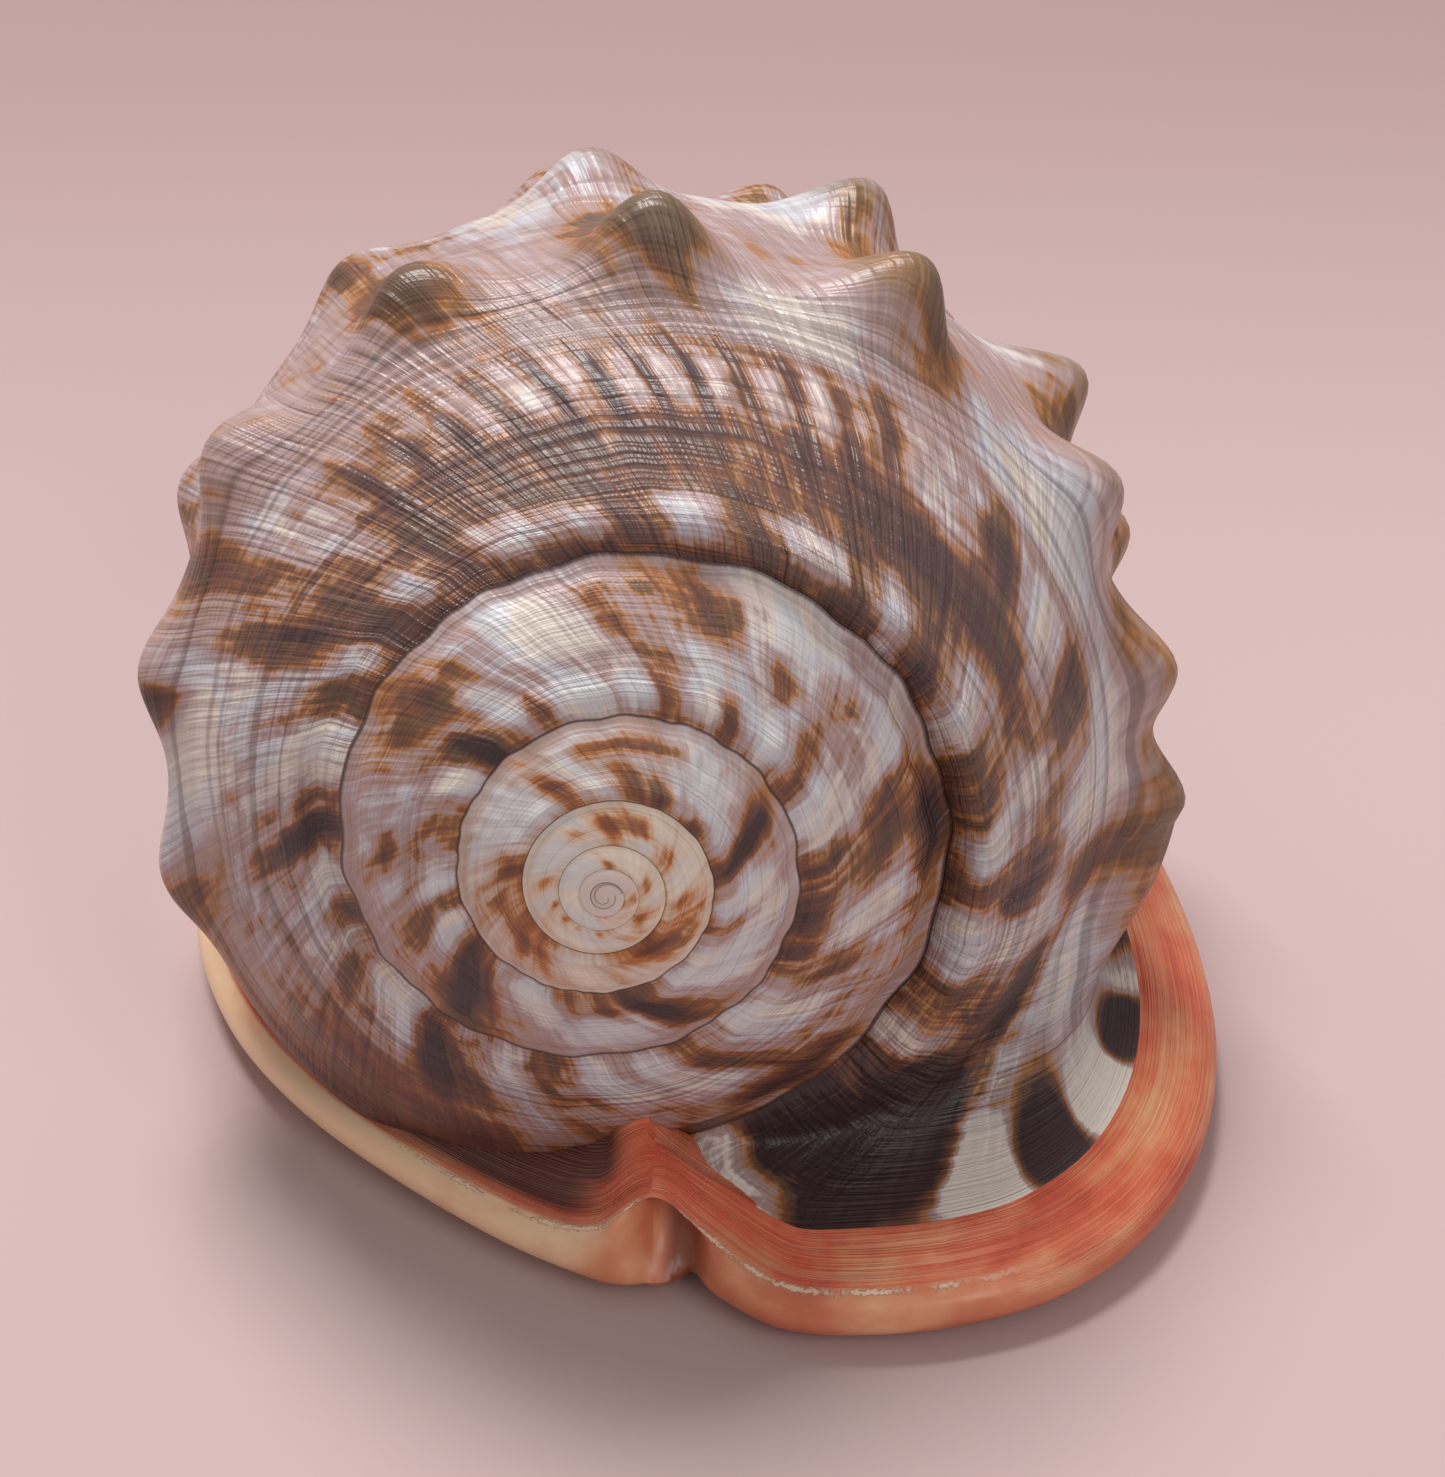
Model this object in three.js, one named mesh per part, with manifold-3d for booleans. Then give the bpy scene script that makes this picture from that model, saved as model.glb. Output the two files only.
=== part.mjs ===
// Bullmouth helmet shell, resting on the flat side that holds its mouth.
// Millimetres, +Z up, +X towards the outer lip, the spire at the -Y end.
import * as THREE from 'three';
import { mergeVertices } from 'three/addons/utils/BufferGeometryUtils.js';
import Module from 'manifold-3d';

// Driving dimensions
const APEX = new THREE.Vector3(-11.05, -68.87, 60);
const AXIS_TILT = 14.4 * Math.PI / 180;
const LIP_ANGLE = -78.5 * Math.PI / 180;
const TURNS = 3.25;
const STEPS_PER_TURN = 88;
const SUTURE_RADIUS = 43.7;
const SUTURE_SHRINK = 0.6058;
const SUTURE_SHRINK_CHANGE = -0.0034;
const SPIRE_HEIGHT = 22;
const SPIRE_CURVE = 1.44;
const LOWEST_BODY = 5;
const SEAL_HEIGHT = 4;
const NOTCH_RISE = 7;
const LANDING_DROP = 0.4;

// The coil's own directions: towards the apex, up across the axis, and towards the lip.
const axis = new THREE.Vector3(0, -Math.cos(AXIS_TILT), Math.sin(AXIS_TILT));
const across = new THREE.Vector3(0, Math.sin(AXIS_TILT), Math.cos(AXIS_TILT));
const side = new THREE.Vector3(1, 0, 0);

// Rows run round the last whorl from the suture (0) to the canal (16). Each has its radius and its
// depth below the apex at the reference turn, how fast the radius shrinks per turn back from the lip,
// and how the depth changes with the square of the turn.
const REFERENCE_TURN = 0.45;
const ROWS = [
  { radius: 33.2, depth: 14.8, shrink: 0.61, rise: 0 },
  { radius: 36.4, depth: 15.4, shrink: 0.61, rise: 0 },
  { radius: 39.6, depth: 18.6, shrink: 0.61, rise: 6 },
  { radius: 44.6, depth: 24.6, shrink: 0.6, rise: 12 },
  { radius: 49.2, depth: 32.1, shrink: 0.6, rise: 21.5 },
  { radius: 53.2, depth: 39, shrink: 0.55, rise: 19 },
  { radius: 56.4, depth: 46, shrink: 0.5, rise: 20 },
  { radius: 57.2, depth: 62, shrink: 0.5, rise: 15 },
  { radius: 56.2, depth: 77, shrink: 0.48, rise: 15 },
  { radius: 53.4, depth: 90, shrink: 0.44, rise: 12 },
  { radius: 49.4, depth: 102, shrink: 0.4, rise: 9 },
  { radius: 45, depth: 112, shrink: 0.36, rise: 6 },
  { radius: 39.8, depth: 121, shrink: 0.3, rise: 4 },
  { radius: 33, depth: 130, shrink: 0.22, rise: 2 },
  { radius: 25, depth: 139, shrink: 0.12, rise: 0 },
  { radius: 18, depth: 147, shrink: 0.04, rise: 0 },
  { radius: 0, depth: 153, shrink: 0, rise: 0 },
];
// The whorl swells again as it comes round under the shield: how much at each row, and from which turn.
const SWELL = [0, 0, 0, 2, 6, 11, 13.5, 14, 13, 12, 10.5, 9, 7, 4, 1, 0, 0];
const SWELL_FROM = 0.66;
const CORD_FADE = 0.2;
// How far the end of each row turns up as the canal bends back
const UPTURN = [0, 0, 0, 0, 0, 0, 0, 0, 0, 0, 0, 0, 0, 1, 3.5, 7, 9];
const SHOULDER_ROW = 6;
const ATTACH_ROW = 5;

// On the spire a row sits at a share of the way between two sutures, proud of that line.
const SPIRE_SHARE = [0, 0.14, 0.3, 0.5, 0.76, 1];
const SPIRE_PROUD = [0, 0.052, 0.062, 0.075, 0.058, 0];

// Big knobs: the turn of each, and its height.
const SHOULDER_KNOBS = [
  [0.187, 8.2], [0.227, 6.4], [0.287, 6.4], [0.373, 8.8], [0.449, 8.2],
  [0.524, 5.6], [0.604, 5], [0.686, 3.8], [0.762, 3.2],
];
const SECOND_KNOBS = [
  [0.244, 7], [0.295, 9], [0.381, 8.8], [0.467, 6.4], [0.554, 4], [0.653, 4.8], [0.735, 4.4], [0.81, 3.6],
];
const THIRD_KNOBS = [
  [0.235, 4.4], [0.315, 5.4], [0.398, 5.6], [0.482, 5.2], [0.566, 4.6], [0.65, 4.2], [0.735, 3.6],
];
const FOURTH_KNOBS = [[0.25, 3], [0.335, 3.6], [0.42, 3.8], [0.505, 3.6], [0.59, 3.2], [0.675, 2.8]];
const KNOB_ROWS = [
  { row: 6, knobs: SHOULDER_KNOBS, width: 6.6, reach: 0.62 },
  { row: 8, knobs: SECOND_KNOBS, width: 6.6, reach: 0.5 },
  { row: 10, knobs: THIRD_KNOBS, width: 5.6, reach: 0.62 },
  { row: 12, knobs: FOURTH_KNOBS, width: 4.8, reach: 0.62 },
];

// Outline of the base, seen from above, measured from the point under the apex: from the notch
// along the outer lip to the canal, then back along the shield.
const OUTLINE = [
  [4, -3.2], [9.5, -4.8], [18, -11], [28, -12.6], [40, -11.6], [52, -7.6], [63, 1], [71, 13.5], [75.4, 28],
  [76.6, 43], [75.4, 59], [72, 76], [66, 93], [57, 109], [45, 124], [31, 137], [18, 146], [6, 150.5],
  [-6, 146], [-18, 135.5], [-31, 122], [-42, 107], [-50, 90], [-54, 72], [-53, 55], [-47.5, 39],
  [-38, 25], [-25, 12.2], [-12, 2], [-2.5, -2.8],
];
const LIP_END_POINT = 17;
const NOTCH_INWARD = new THREE.Vector3(0.1, 1, 0);
const DEEPEST_INWARD = 6;

// Points of the outline that the rows reach as they flare out to the lip, by number along OUTLINE.
const ROW_LANDING = [
  0, 0.75, 1.4, 2.7, 4.6, 6.3, 8.3, 9.5, 10.6, 11.5, 12.3, 13, 13.7, 14.5, 15.3, 16.1, 17,
];
const FLARE_START = [0, 0.03, 0.065, 0.1, 0.135, 0.165, 0.182];

// Section of the base's rim: how far in from the outline, and how high, from the flat underside
// over the rolled edge to the band, for the lip and for the shield
const LIP_SECTION = [
  [22, 0], [7, 0], [3.4, 0.7], [1, 2.4], [0, 4.6], [0.6, 6.8], [2.4, 8], [6, 9.4], [10, 10.6], [14, 10.2], [22, 9],
];
const SHIELD_SECTION = [
  [22, 0], [8, 0], [4.4, 0.8], [1.6, 2.4], [0, 4.8], [0.4, 7], [2, 8.2], [4.4, 8.4], [8, 8.2], [13, 8], [22, 8],
];
// Along its far half the shield climbs the body instead, from these points of the section on.
const CLIMB = [0, 0, 0, 0, 0, 0, 0, 0.8, 3, 7.4, 15];
// Beside the notch its upper face slopes up to the spire.
const NOTCH_CLIMB = [0, 0, 0, 0, 0, 0, 0, 1.2, 4, 6.5, 10];
const BAND_EDGE = 8;
const BASE_STEPS = 96;

const PROFILE_STOPS = [
  0, 0.6, 1.2, 2, 3, 4, 5, 5.5, 6, 6.5, 7, 7.5, 8, 8.5, 9, 9.5, 10, 10.5, 11.3, 12, 13, 14, 15, 16,
];
const ATTACH_STOP = PROFILE_STOPS.indexOf(ATTACH_ROW);
const LAST_STOP = PROFILE_STOPS.length - 1;

// Slot of the mouth and the hollow above it
const MOUTH_TEETH = 21;
const MOUTH_START = 0;
const MOUTH_END = 158;
const TEETH_START = 14;
const TEETH_END = 126;
const TOOTH_HEIGHT = 1.5;

const smooth = (from, to, value) => THREE.MathUtils.smoothstep(value, from, to);
const mix = THREE.MathUtils.lerp;

function catmull(p0, p1, p2, p3, f) {
  const a = 2 * p1;
  const b = p2 - p0;
  const c = 2 * p0 - 5 * p1 + 4 * p2 - p3;
  const d = 3 * p1 - p0 - 3 * p2 + p3;
  return 0.5 * (a + b * f + c * f * f + d * f * f * f);
}

function suture(turn) {
  const share = Math.exp(-SUTURE_SHRINK * turn - SUTURE_SHRINK_CHANGE * turn * turn);
  return { radius: SUTURE_RADIUS * share, depth: SPIRE_HEIGHT * share ** SPIRE_CURVE };
}

// A row on the last whorl. The cord beside the suture, rows 1 and 2, flattens out towards the lip.
function bodyRow(row, turn) {
  if (row === 0) return suture(turn);
  const { radius, depth, shrink, rise } = ROWS[row];
  const point = {
    radius: radius * Math.exp(-shrink * (turn - REFERENCE_TURN)) + SWELL[row] * smooth(SWELL_FROM, 1, turn),
    depth: depth - rise * (turn * turn - REFERENCE_TURN * REFERENCE_TURN),
  };
  if (row > 2 || turn > CORD_FADE) return point;
  const flat = 1 - smooth(0, CORD_FADE, turn);
  const [inner, outer] = [suture(turn), bodyRow(3, turn)];
  return {
    radius: mix(point.radius, mix(inner.radius, outer.radius, row / 3), flat),
    depth: mix(point.depth, mix(inner.depth, outer.depth, row / 3), flat),
  };
}

// A row on the spire, between its own suture and the one outside it
function spireRow(row, turn) {
  const inner = suture(turn);
  const outer = suture(turn - 1);
  if (row >= SHOULDER_ROW) {
    return { radius: outer.radius * 1.3, depth: outer.depth + outer.radius * 0.12 };
  }
  const run = outer.radius - inner.radius;
  const fall = outer.depth - inner.depth;
  return {
    radius: inner.radius + run * SPIRE_SHARE[row] + fall * SPIRE_PROUD[row],
    depth: inner.depth + fall * SPIRE_SHARE[row] - run * SPIRE_PROUD[row],
  };
}

function rowPoint(row, turn) {
  const kept = THREE.MathUtils.clamp(row, 0, 16);
  if (kept > SHOULDER_ROW) return bodyRow(kept, turn);
  const onSpire = smooth(kept >= ATTACH_ROW ? 0.9 : 0.7, 1, turn);
  if (onSpire === 0) return bodyRow(kept, turn);
  const far = spireRow(kept, turn);
  if (onSpire === 1) return far;
  const near = bodyRow(kept, turn);
  return { radius: mix(near.radius, far.radius, onSpire), depth: mix(near.depth, far.depth, onSpire) };
}

function knobHeight(place, turn, radius) {
  let height = 0;
  for (const { row, knobs, width, reach } of KNOB_ROWS) {
    const off = (place - row) / reach;
    if (Math.abs(off) > 3) continue;
    for (const [at, tall] of knobs) {
      const along = (turn - at) * 2 * Math.PI * radius / width;
      height += tall * Math.exp(-along * along - off * off);
    }
  }
  return height;
}

// A point of the coil: place is the row number with a fraction, and knobs is the share of their height.
function coilPoint(place, turn, knobs = 1) {
  const row = Math.min(Math.floor(place), 15);
  const f = place - row;
  const ends = [row - 1, row, row + 1, row + 2].map((one) => rowPoint(one, turn));
  let radius = catmull(...ends.map((one) => one.radius), f);
  let depth = catmull(...ends.map((one) => one.depth), f);
  if (turn < 1) {
    const knob = knobs * knobHeight(place, turn, radius);
    radius += knob;
    depth -= 0.15 * knob;
  }
  const angle = LIP_ANGLE + 2 * Math.PI * turn;
  const point = APEX.clone()
    .addScaledVector(side, radius * Math.cos(angle))
    .addScaledVector(across, radius * Math.sin(angle))
    .addScaledVector(axis, -depth);
  const turnedUp = mix(UPTURN[row], UPTURN[row + 1], f);
  point.z += turnedUp;
  if (point.z < LOWEST_BODY + 4) {
    point.z = LOWEST_BODY + 4 * Math.exp((point.z - LOWEST_BODY - 4) / 4);
  }
  return point;
}

// The base's outline at a point number with a fraction, and the way inwards from it
function outlinePoint(place) {
  const count = OUTLINE.length;
  const row = Math.floor(place);
  const f = place - row;
  const four = [-1, 0, 1, 2].map((shift) => OUTLINE[(row + shift + count) % count]);
  const x = catmull(...four.map((one) => one[0]), f);
  const y = catmull(...four.map((one) => one[1]), f);
  return new THREE.Vector3(APEX.x + x, APEX.y + y, 0);
}

// How far a place on the outline is into the stretch around the notch, where the rim turns tightly
function notchZone(place) {
  return Math.max(1 - smooth(0, 3.4, place), smooth(OUTLINE.length - 2.6, OUTLINE.length, place));
}

function outlineInward(place) {
  const ahead = outlinePoint(place + 0.2);
  const behind = outlinePoint(place - 0.2 + (place < 0.2 ? OUTLINE.length : 0));
  const way = ahead.sub(behind).normalize();
  const inward = new THREE.Vector3(-way.y, way.x, 0);
  return inward.lerp(NOTCH_INWARD, 0.65 * notchZone(place)).normalize();
}

// How far a place on the outline is into the arched notch, from 0 to 1
function notchShare(place) {
  const count = OUTLINE.length;
  const off = Math.min(place, count - place);
  return Math.exp(-off * off / 0.9);
}

// The lip's share of the outline: its band is wide, and the shield's is narrow.
function lipShare(place) {
  const fromNotch = place > OUTLINE.length / 2 ? place - OUTLINE.length : place;
  return smooth(-0.6, 0.5, fromNotch) * (1 - smooth(LIP_END_POINT - 1, LIP_END_POINT + 1, place));
}

// A point of the base's rim: a place on the outline and a point of its section
function rimPoint(place, index) {
  const lip = lipShare(place);
  const zone = notchZone(place);
  const beside = smooth(25.5, 29.2, place) + (1 - smooth(0, 1, place));
  const climb = smooth(17.5, 20, place) * (1 - smooth(24.5, 27.5, place));
  const [shieldIn, shieldUp] = SHIELD_SECTION[index];
  const [lipIn, lipUp] = LIP_SECTION[index];
  const deep = mix(shieldIn, lipIn, lip);
  const kept = Math.min(deep, DEEPEST_INWARD) + Math.max(deep - DEEPEST_INWARD, 0) * (1 - 0.6 * zone);
  const point = outlinePoint(place).addScaledVector(outlineInward(place), kept);
  const up = mix(shieldUp + CLIMB[index] * climb + NOTCH_CLIMB[index] * beside, lipUp, lip);
  point.z = up + NOTCH_RISE * notchShare(place) * smooth(4, 9, up);
  return point;
}

// The place on the outline where a row lands, and the point of the band that it meets there
function landing(place) {
  const row = Math.min(Math.floor(place), 15);
  return mix(ROW_LANDING[row], ROW_LANDING[row + 1], place - row);
}

function lipPoint(place) {
  const at = landing(place);
  const point = rimPoint(at, BAND_EDGE - 1).lerp(rimPoint(at, BAND_EDGE), smooth(0, 2.5, at));
  point.z -= LANDING_DROP;
  const onSuture = 1 - smooth(0, 1.2, place);
  return { point: point.lerp(coilPoint(0, 0), onSuture), out: outlineInward(at).negate() };
}

// The last whorl: the coil, with its first stretch behind the lip flared out to the band
function bodyPoint(place, turn) {
  const row = Math.min(Math.floor(place), FLARE_START.length - 1);
  const next = Math.min(row + 1, FLARE_START.length - 1);
  const start = mix(FLARE_START[row], FLARE_START[next], Math.min(place - row, 1));
  if (turn >= start || start === 0) return coilPoint(place, turn);
  const f = 1 - turn / start;
  const nudge = 0.002;
  const from = coilPoint(place, start, 0);
  const fromWay = coilPoint(place, start - nudge, 0).sub(from).multiplyScalar(start / nudge);
  const { point, out } = lipPoint(place);
  const knob = coilPoint(place, start, 1).sub(from).multiplyScalar(1 - smooth(0, 0.6, f));
  const toWay = out.multiplyScalar(mix(3, 18, smooth(0.5, 4, place)));
  toWay.z = 1;
  const f2 = f * f;
  const f3 = f2 * f;
  return from.multiplyScalar(2 * f3 - 3 * f2 + 1)
    .addScaledVector(fromWay, f3 - 2 * f2 + f)
    .addScaledVector(point, 3 * f2 - 2 * f3)
    .addScaledVector(toWay, f3 - f2)
    .add(knob);
}

// A mesh under way: points and triangles
function startMesh() {
  return { points: [], triangles: [] };
}

function addPoint(mesh, point) {
  return mesh.points.push(point.x, point.y, point.z) / 3 - 1;
}

function addQuad(mesh, a, b, c, d) {
  if (a !== b && b !== c && a !== c) mesh.triangles.push(a, b, c);
  if (a !== c && c !== d && a !== d) mesh.triangles.push(a, c, d);
}

// The whole coil as one closed mesh, sealed underneath inside the base
function buildCoil() {
  const mesh = startMesh();
  const lastColumn = Math.round(TURNS * STEPS_PER_TURN);
  const tip = addPoint(mesh, coilPoint(16, 0.5));
  const columns = [];
  for (let column = 0; column <= lastColumn; column += 1) {
    const turn = column / STEPS_PER_TURN;
    const onBody = column <= STEPS_PER_TURN;
    const stops = onBody ? LAST_STOP : ATTACH_STOP;
    const ids = [];
    for (let stop = 0; stop <= stops; stop += 1) {
      if (stop === LAST_STOP) ids.push(tip);
      else if (stop === ATTACH_STOP && !(column < STEPS_PER_TURN)) ids.push(columns[column - STEPS_PER_TURN][0]);
      else ids.push(addPoint(mesh, bodyPoint(PROFILE_STOPS[stop], turn)));
    }
    columns.push(ids);
  }
  for (let column = 0; column < lastColumn; column += 1) {
    const stops = column < STEPS_PER_TURN ? LAST_STOP : ATTACH_STOP;
    for (let stop = 0; stop < stops; stop += 1) {
      const [here, next] = [columns[column], columns[column + 1]];
      addQuad(mesh, here[stop], here[stop + 1], next[stop + 1], next[stop]);
    }
  }
  const top = addPoint(mesh, APEX.clone().addScaledVector(axis, 0.4));
  for (let column = lastColumn - STEPS_PER_TURN; column < lastColumn; column += 1) {
    addQuad(mesh, top, columns[column][0], columns[column + 1][0], top);
  }
  for (let stop = 0; stop < ATTACH_STOP; stop += 1) {
    addQuad(mesh, top, columns[lastColumn][stop], columns[lastColumn][stop + 1], top);
  }
  sealUnderside(mesh, columns[0], columns[STEPS_PER_TURN], tip);
  return mesh;
}

function sealUnderside(mesh, lip, back, tip) {
  const lowered = (id, inward) => {
    const point = new THREE.Vector3(...mesh.points.slice(id * 3, id * 3 + 3));
    if (inward) point.add(inward);
    point.z = SEAL_HEIGHT;
    return addPoint(mesh, point);
  };
  const corner = lowered(lip[0]);
  const lipLow = lip.map((id, stop) => {
    if (stop === 0) return corner;
    if (id === tip) return tip;
    return lowered(id, outlineInward(landing(PROFILE_STOPS[stop])));
  });
  const backLow = back.map((id, stop) => {
    if (stop <= ATTACH_STOP) return corner;
    return id === tip ? tip : lowered(id);
  });
  for (let stop = 0; stop < LAST_STOP; stop += 1) {
    addQuad(mesh, lip[stop + 1], lip[stop], lipLow[stop], lipLow[stop + 1]);
    addQuad(mesh, lipLow[stop + 1], lipLow[stop], backLow[stop], backLow[stop + 1]);
    if (stop >= ATTACH_STOP) addQuad(mesh, back[stop], back[stop + 1], backLow[stop + 1], backLow[stop]);
  }
}

function buildBase() {
  const mesh = startMesh();
  const rings = [];
  for (let step = 0; step < BASE_STEPS; step += 1) {
    const place = step / BASE_STEPS * OUTLINE.length;
    rings.push(LIP_SECTION.map((_, index) => addPoint(mesh, rimPoint(place, index))));
  }
  const last = LIP_SECTION.length - 1;
  rings.forEach((ring, step) => {
    const next = rings[(step + 1) % BASE_STEPS];
    for (let index = 0; index < last; index += 1) {
      addQuad(mesh, ring[index], next[index], next[index + 1], ring[index + 1]);
    }
  });
  const middles = [0, 1, 2, 3, 4, 5].map((number) => {
    const y = APEX.y + mix(24, 124, number / 5);
    return [0, 8].map((z) => addPoint(mesh, new THREE.Vector3(APEX.x + 8, y, z)));
  });
  const nearest = (id) => {
    const share = (mesh.points[id * 3 + 1] - APEX.y - 24) / 100 * 5;
    return THREE.MathUtils.clamp(Math.round(share), 0, 5);
  };
  rings.forEach((ring, step) => {
    const next = rings[(step + 1) % BASE_STEPS];
    for (const [index, level] of [[0, 0], [last, 1]]) {
      const here = middles[nearest(ring[index])][level];
      const there = middles[nearest(next[index])][level];
      if (level === 0) addQuad(mesh, here, there, next[index], ring[index]);
      else addQuad(mesh, ring[index], next[index], there, here);
    }
  });
  return mesh;
}

// Middle of the mouth's slot at a distance from the apex's foot
function slotMiddle(y) {
  const bow = Math.sin(Math.PI * THREE.MathUtils.clamp((y + 12) / 150, 0, 1));
  return 9 + 7 * bow - 5 * smooth(100, 150, y) - 5 * (1 - smooth(-10, 10, y));
}

// The mouth as a solid to cut away: a toothed slot, and a hollow over it that leans to the lip
function buildMouth() {
  const mesh = startMesh();
  const stations = [MOUTH_START, 3, 6, 10];
  for (let half = 0; half <= MOUTH_TEETH * 2; half += 1) {
    stations.push(mix(TEETH_START, TEETH_END, half / (MOUTH_TEETH * 2)));
  }
  stations.push(132, 139, 146, 152, MOUTH_END);
  const rings = stations.map((y, index) => {
    const toothed = y >= TEETH_START && y <= TEETH_END;
    const tooth = toothed && index % 2 === 0 ? TOOTH_HEIGHT : 0;
    const middle = slotMiddle(y);
    const half = mix(1.1, 4.9, smooth(-2, 24, y)) - 1.3 * smooth(110, 140, y);
    const room = smooth(15, 42, y) * (1 - smooth(104, 140, y));
    const arch = smooth(8, 34, y);
    const canal = smooth(134, 154, y);
    const shelf = mix(4.4, 10, arch) + canal * 8;
    const centre = [middle + 15 * room, mix(mix(5, 11, arch), 37, room) + canal * 10];
    const wide = mix(half, 21, room);
    const tall = mix(1.2, 24, room);
    const left = [];
    const right = [];
    const open = smooth(-6, 12, y);
    for (const [z, edge, toothShare] of [[-6, 3.4, 0], [0, 2.2, 0.3], [2.6, 0, 1], [7.4, 0.2, 0.9]]) {
      const flare = edge * open;
      left.push([middle - half - flare + 0.7 * tooth * toothShare, z + canal * z * 0.2]);
      right.push([middle + half + flare - tooth * toothShare, z + canal * z * 0.2]);
    }
    left.push([middle - half, shelf]);
    right.push([middle + half, shelf]);
    const over = [];
    for (let step = 1; step < 7; step += 1) {
      const angle = mix(205, -25, step / 7) * Math.PI / 180;
      over.push([centre[0] + wide * Math.cos(angle), centre[1] + tall * Math.sin(angle)]);
    }
    const section = [...left, ...over, ...right.reverse()];
    return section.map(([x, z]) => addPoint(mesh, new THREE.Vector3(APEX.x + x, APEX.y + y, z)));
  });
  const count = rings[0].length;
  for (let index = 0; index < rings.length - 1; index += 1) {
    for (let corner = 0; corner < count; corner += 1) {
      const beside = (corner + 1) % count;
      addQuad(mesh, rings[index][corner], rings[index][beside], rings[index + 1][beside], rings[index + 1][corner]);
    }
  }
  for (const [ring, flip] of [[rings[0], true], [rings[rings.length - 1], false]]) {
    for (let corner = 1; corner < count - 1; corner += 1) {
      if (flip) addQuad(mesh, ring[0], ring[corner + 1], ring[corner], ring[0]);
      else addQuad(mesh, ring[0], ring[corner], ring[corner + 1], ring[0]);
    }
  }
  return mesh;
}

// The hollow in the face of the rim under the arched notch, where the mouth's slot ends
function buildNotchHollow() {
  const ball = new THREE.SphereGeometry(1, 14, 8);
  ball.scale(5.4, 7.5, 5);
  ball.rotateZ(0.2);
  ball.translate(APEX.x + 3, APEX.y - 7.4, 7.3);
  return ball;
}

const wasm = await Module();
wasm.setup();

function solidOf(geometry) {
  geometry.deleteAttribute('normal');
  geometry.deleteAttribute('uv');
  const merged = mergeVertices(geometry, 1e-4);
  return new wasm.Manifold(new wasm.Mesh({
    numProp: 3,
    vertProperties: new Float32Array(merged.attributes.position.array),
    triVerts: new Uint32Array(merged.index.array),
  }));
}

function solidFrom(mesh) {
  const geometry = new THREE.BufferGeometry();
  geometry.setAttribute('position', new THREE.Float32BufferAttribute(mesh.points, 3));
  geometry.setIndex(mesh.triangles);
  return solidOf(geometry);
}

function geometryOf(solid) {
  const { vertProperties, triVerts } = solid.getMesh();
  const geometry = new THREE.BufferGeometry();
  geometry.setAttribute('position', new THREE.BufferAttribute(vertProperties, 3));
  geometry.setIndex(new THREE.BufferAttribute(triVerts, 1));
  geometry.computeVertexNormals();
  return geometry;
}

const shellSolid = solidFrom(buildCoil())
  .add(solidFrom(buildBase()))
  .subtract(solidFrom(buildMouth()))
  .subtract(solidOf(buildNotchHollow()));

const shellMaterial = new THREE.MeshStandardMaterial({ color: 0xb59a90, roughness: 0.38, metalness: 0 });
const shell = new THREE.Mesh(geometryOf(shellSolid), shellMaterial);
shell.name = 'shell';

const part = new THREE.Group();
part.add(shell);

export default part;
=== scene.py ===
"""Bullmouth helmet shell, lying on the flat side that holds its mouth.

Metres, +Z up, +X towards the outer lip, the spire at the -Y end. The shapes are laid out in
millimetres, from the same dimensions as the solid, and are scaled when they become meshes.
"""
import math

import bpy
import numpy as np
from mathutils import Matrix, Vector


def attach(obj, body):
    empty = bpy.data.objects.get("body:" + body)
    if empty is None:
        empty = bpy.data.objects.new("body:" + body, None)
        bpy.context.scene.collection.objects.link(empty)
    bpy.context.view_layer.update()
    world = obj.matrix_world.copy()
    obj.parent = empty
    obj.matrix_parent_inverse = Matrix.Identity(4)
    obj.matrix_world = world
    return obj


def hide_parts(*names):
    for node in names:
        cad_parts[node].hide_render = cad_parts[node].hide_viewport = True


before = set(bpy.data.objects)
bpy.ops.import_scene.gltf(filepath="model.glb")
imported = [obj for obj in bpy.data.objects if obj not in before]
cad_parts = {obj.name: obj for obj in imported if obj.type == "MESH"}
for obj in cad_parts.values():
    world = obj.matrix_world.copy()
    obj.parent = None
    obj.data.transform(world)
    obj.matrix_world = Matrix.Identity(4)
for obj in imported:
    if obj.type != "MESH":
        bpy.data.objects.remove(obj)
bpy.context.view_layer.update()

# Dimensions of the coil
APEX = np.array([-11.05, -68.87, 60.0])
AXIS_TILT = math.radians(14.4)
LIP_ANGLE = math.radians(-78.5)
SUTURE_RADIUS = 43.7
SUTURE_SHRINK = 0.6058
SUTURE_SHRINK_CHANGE = -0.0034
SPIRE_HEIGHT = 22
SUTURE_WAVE = 0.34
# Waves of the suture: strength, waves in a turn, and how strongly and how fast their spacing changes
SUTURE_WAVES = [(1, 14, 1.7, 9), (0.5, 31, 2, 23)]
SPIRE_CURVE = 1.44
LOWEST_BODY = 5
LOWEST_BLEND = 4
SEAL_HEIGHT = 3
NOTCH_RISE = 7

AXIS = np.array([0, -math.cos(AXIS_TILT), math.sin(AXIS_TILT)])
ACROSS = np.array([0, math.sin(AXIS_TILT), math.cos(AXIS_TILT)])
SIDE = np.array([1.0, 0, 0])

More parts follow.
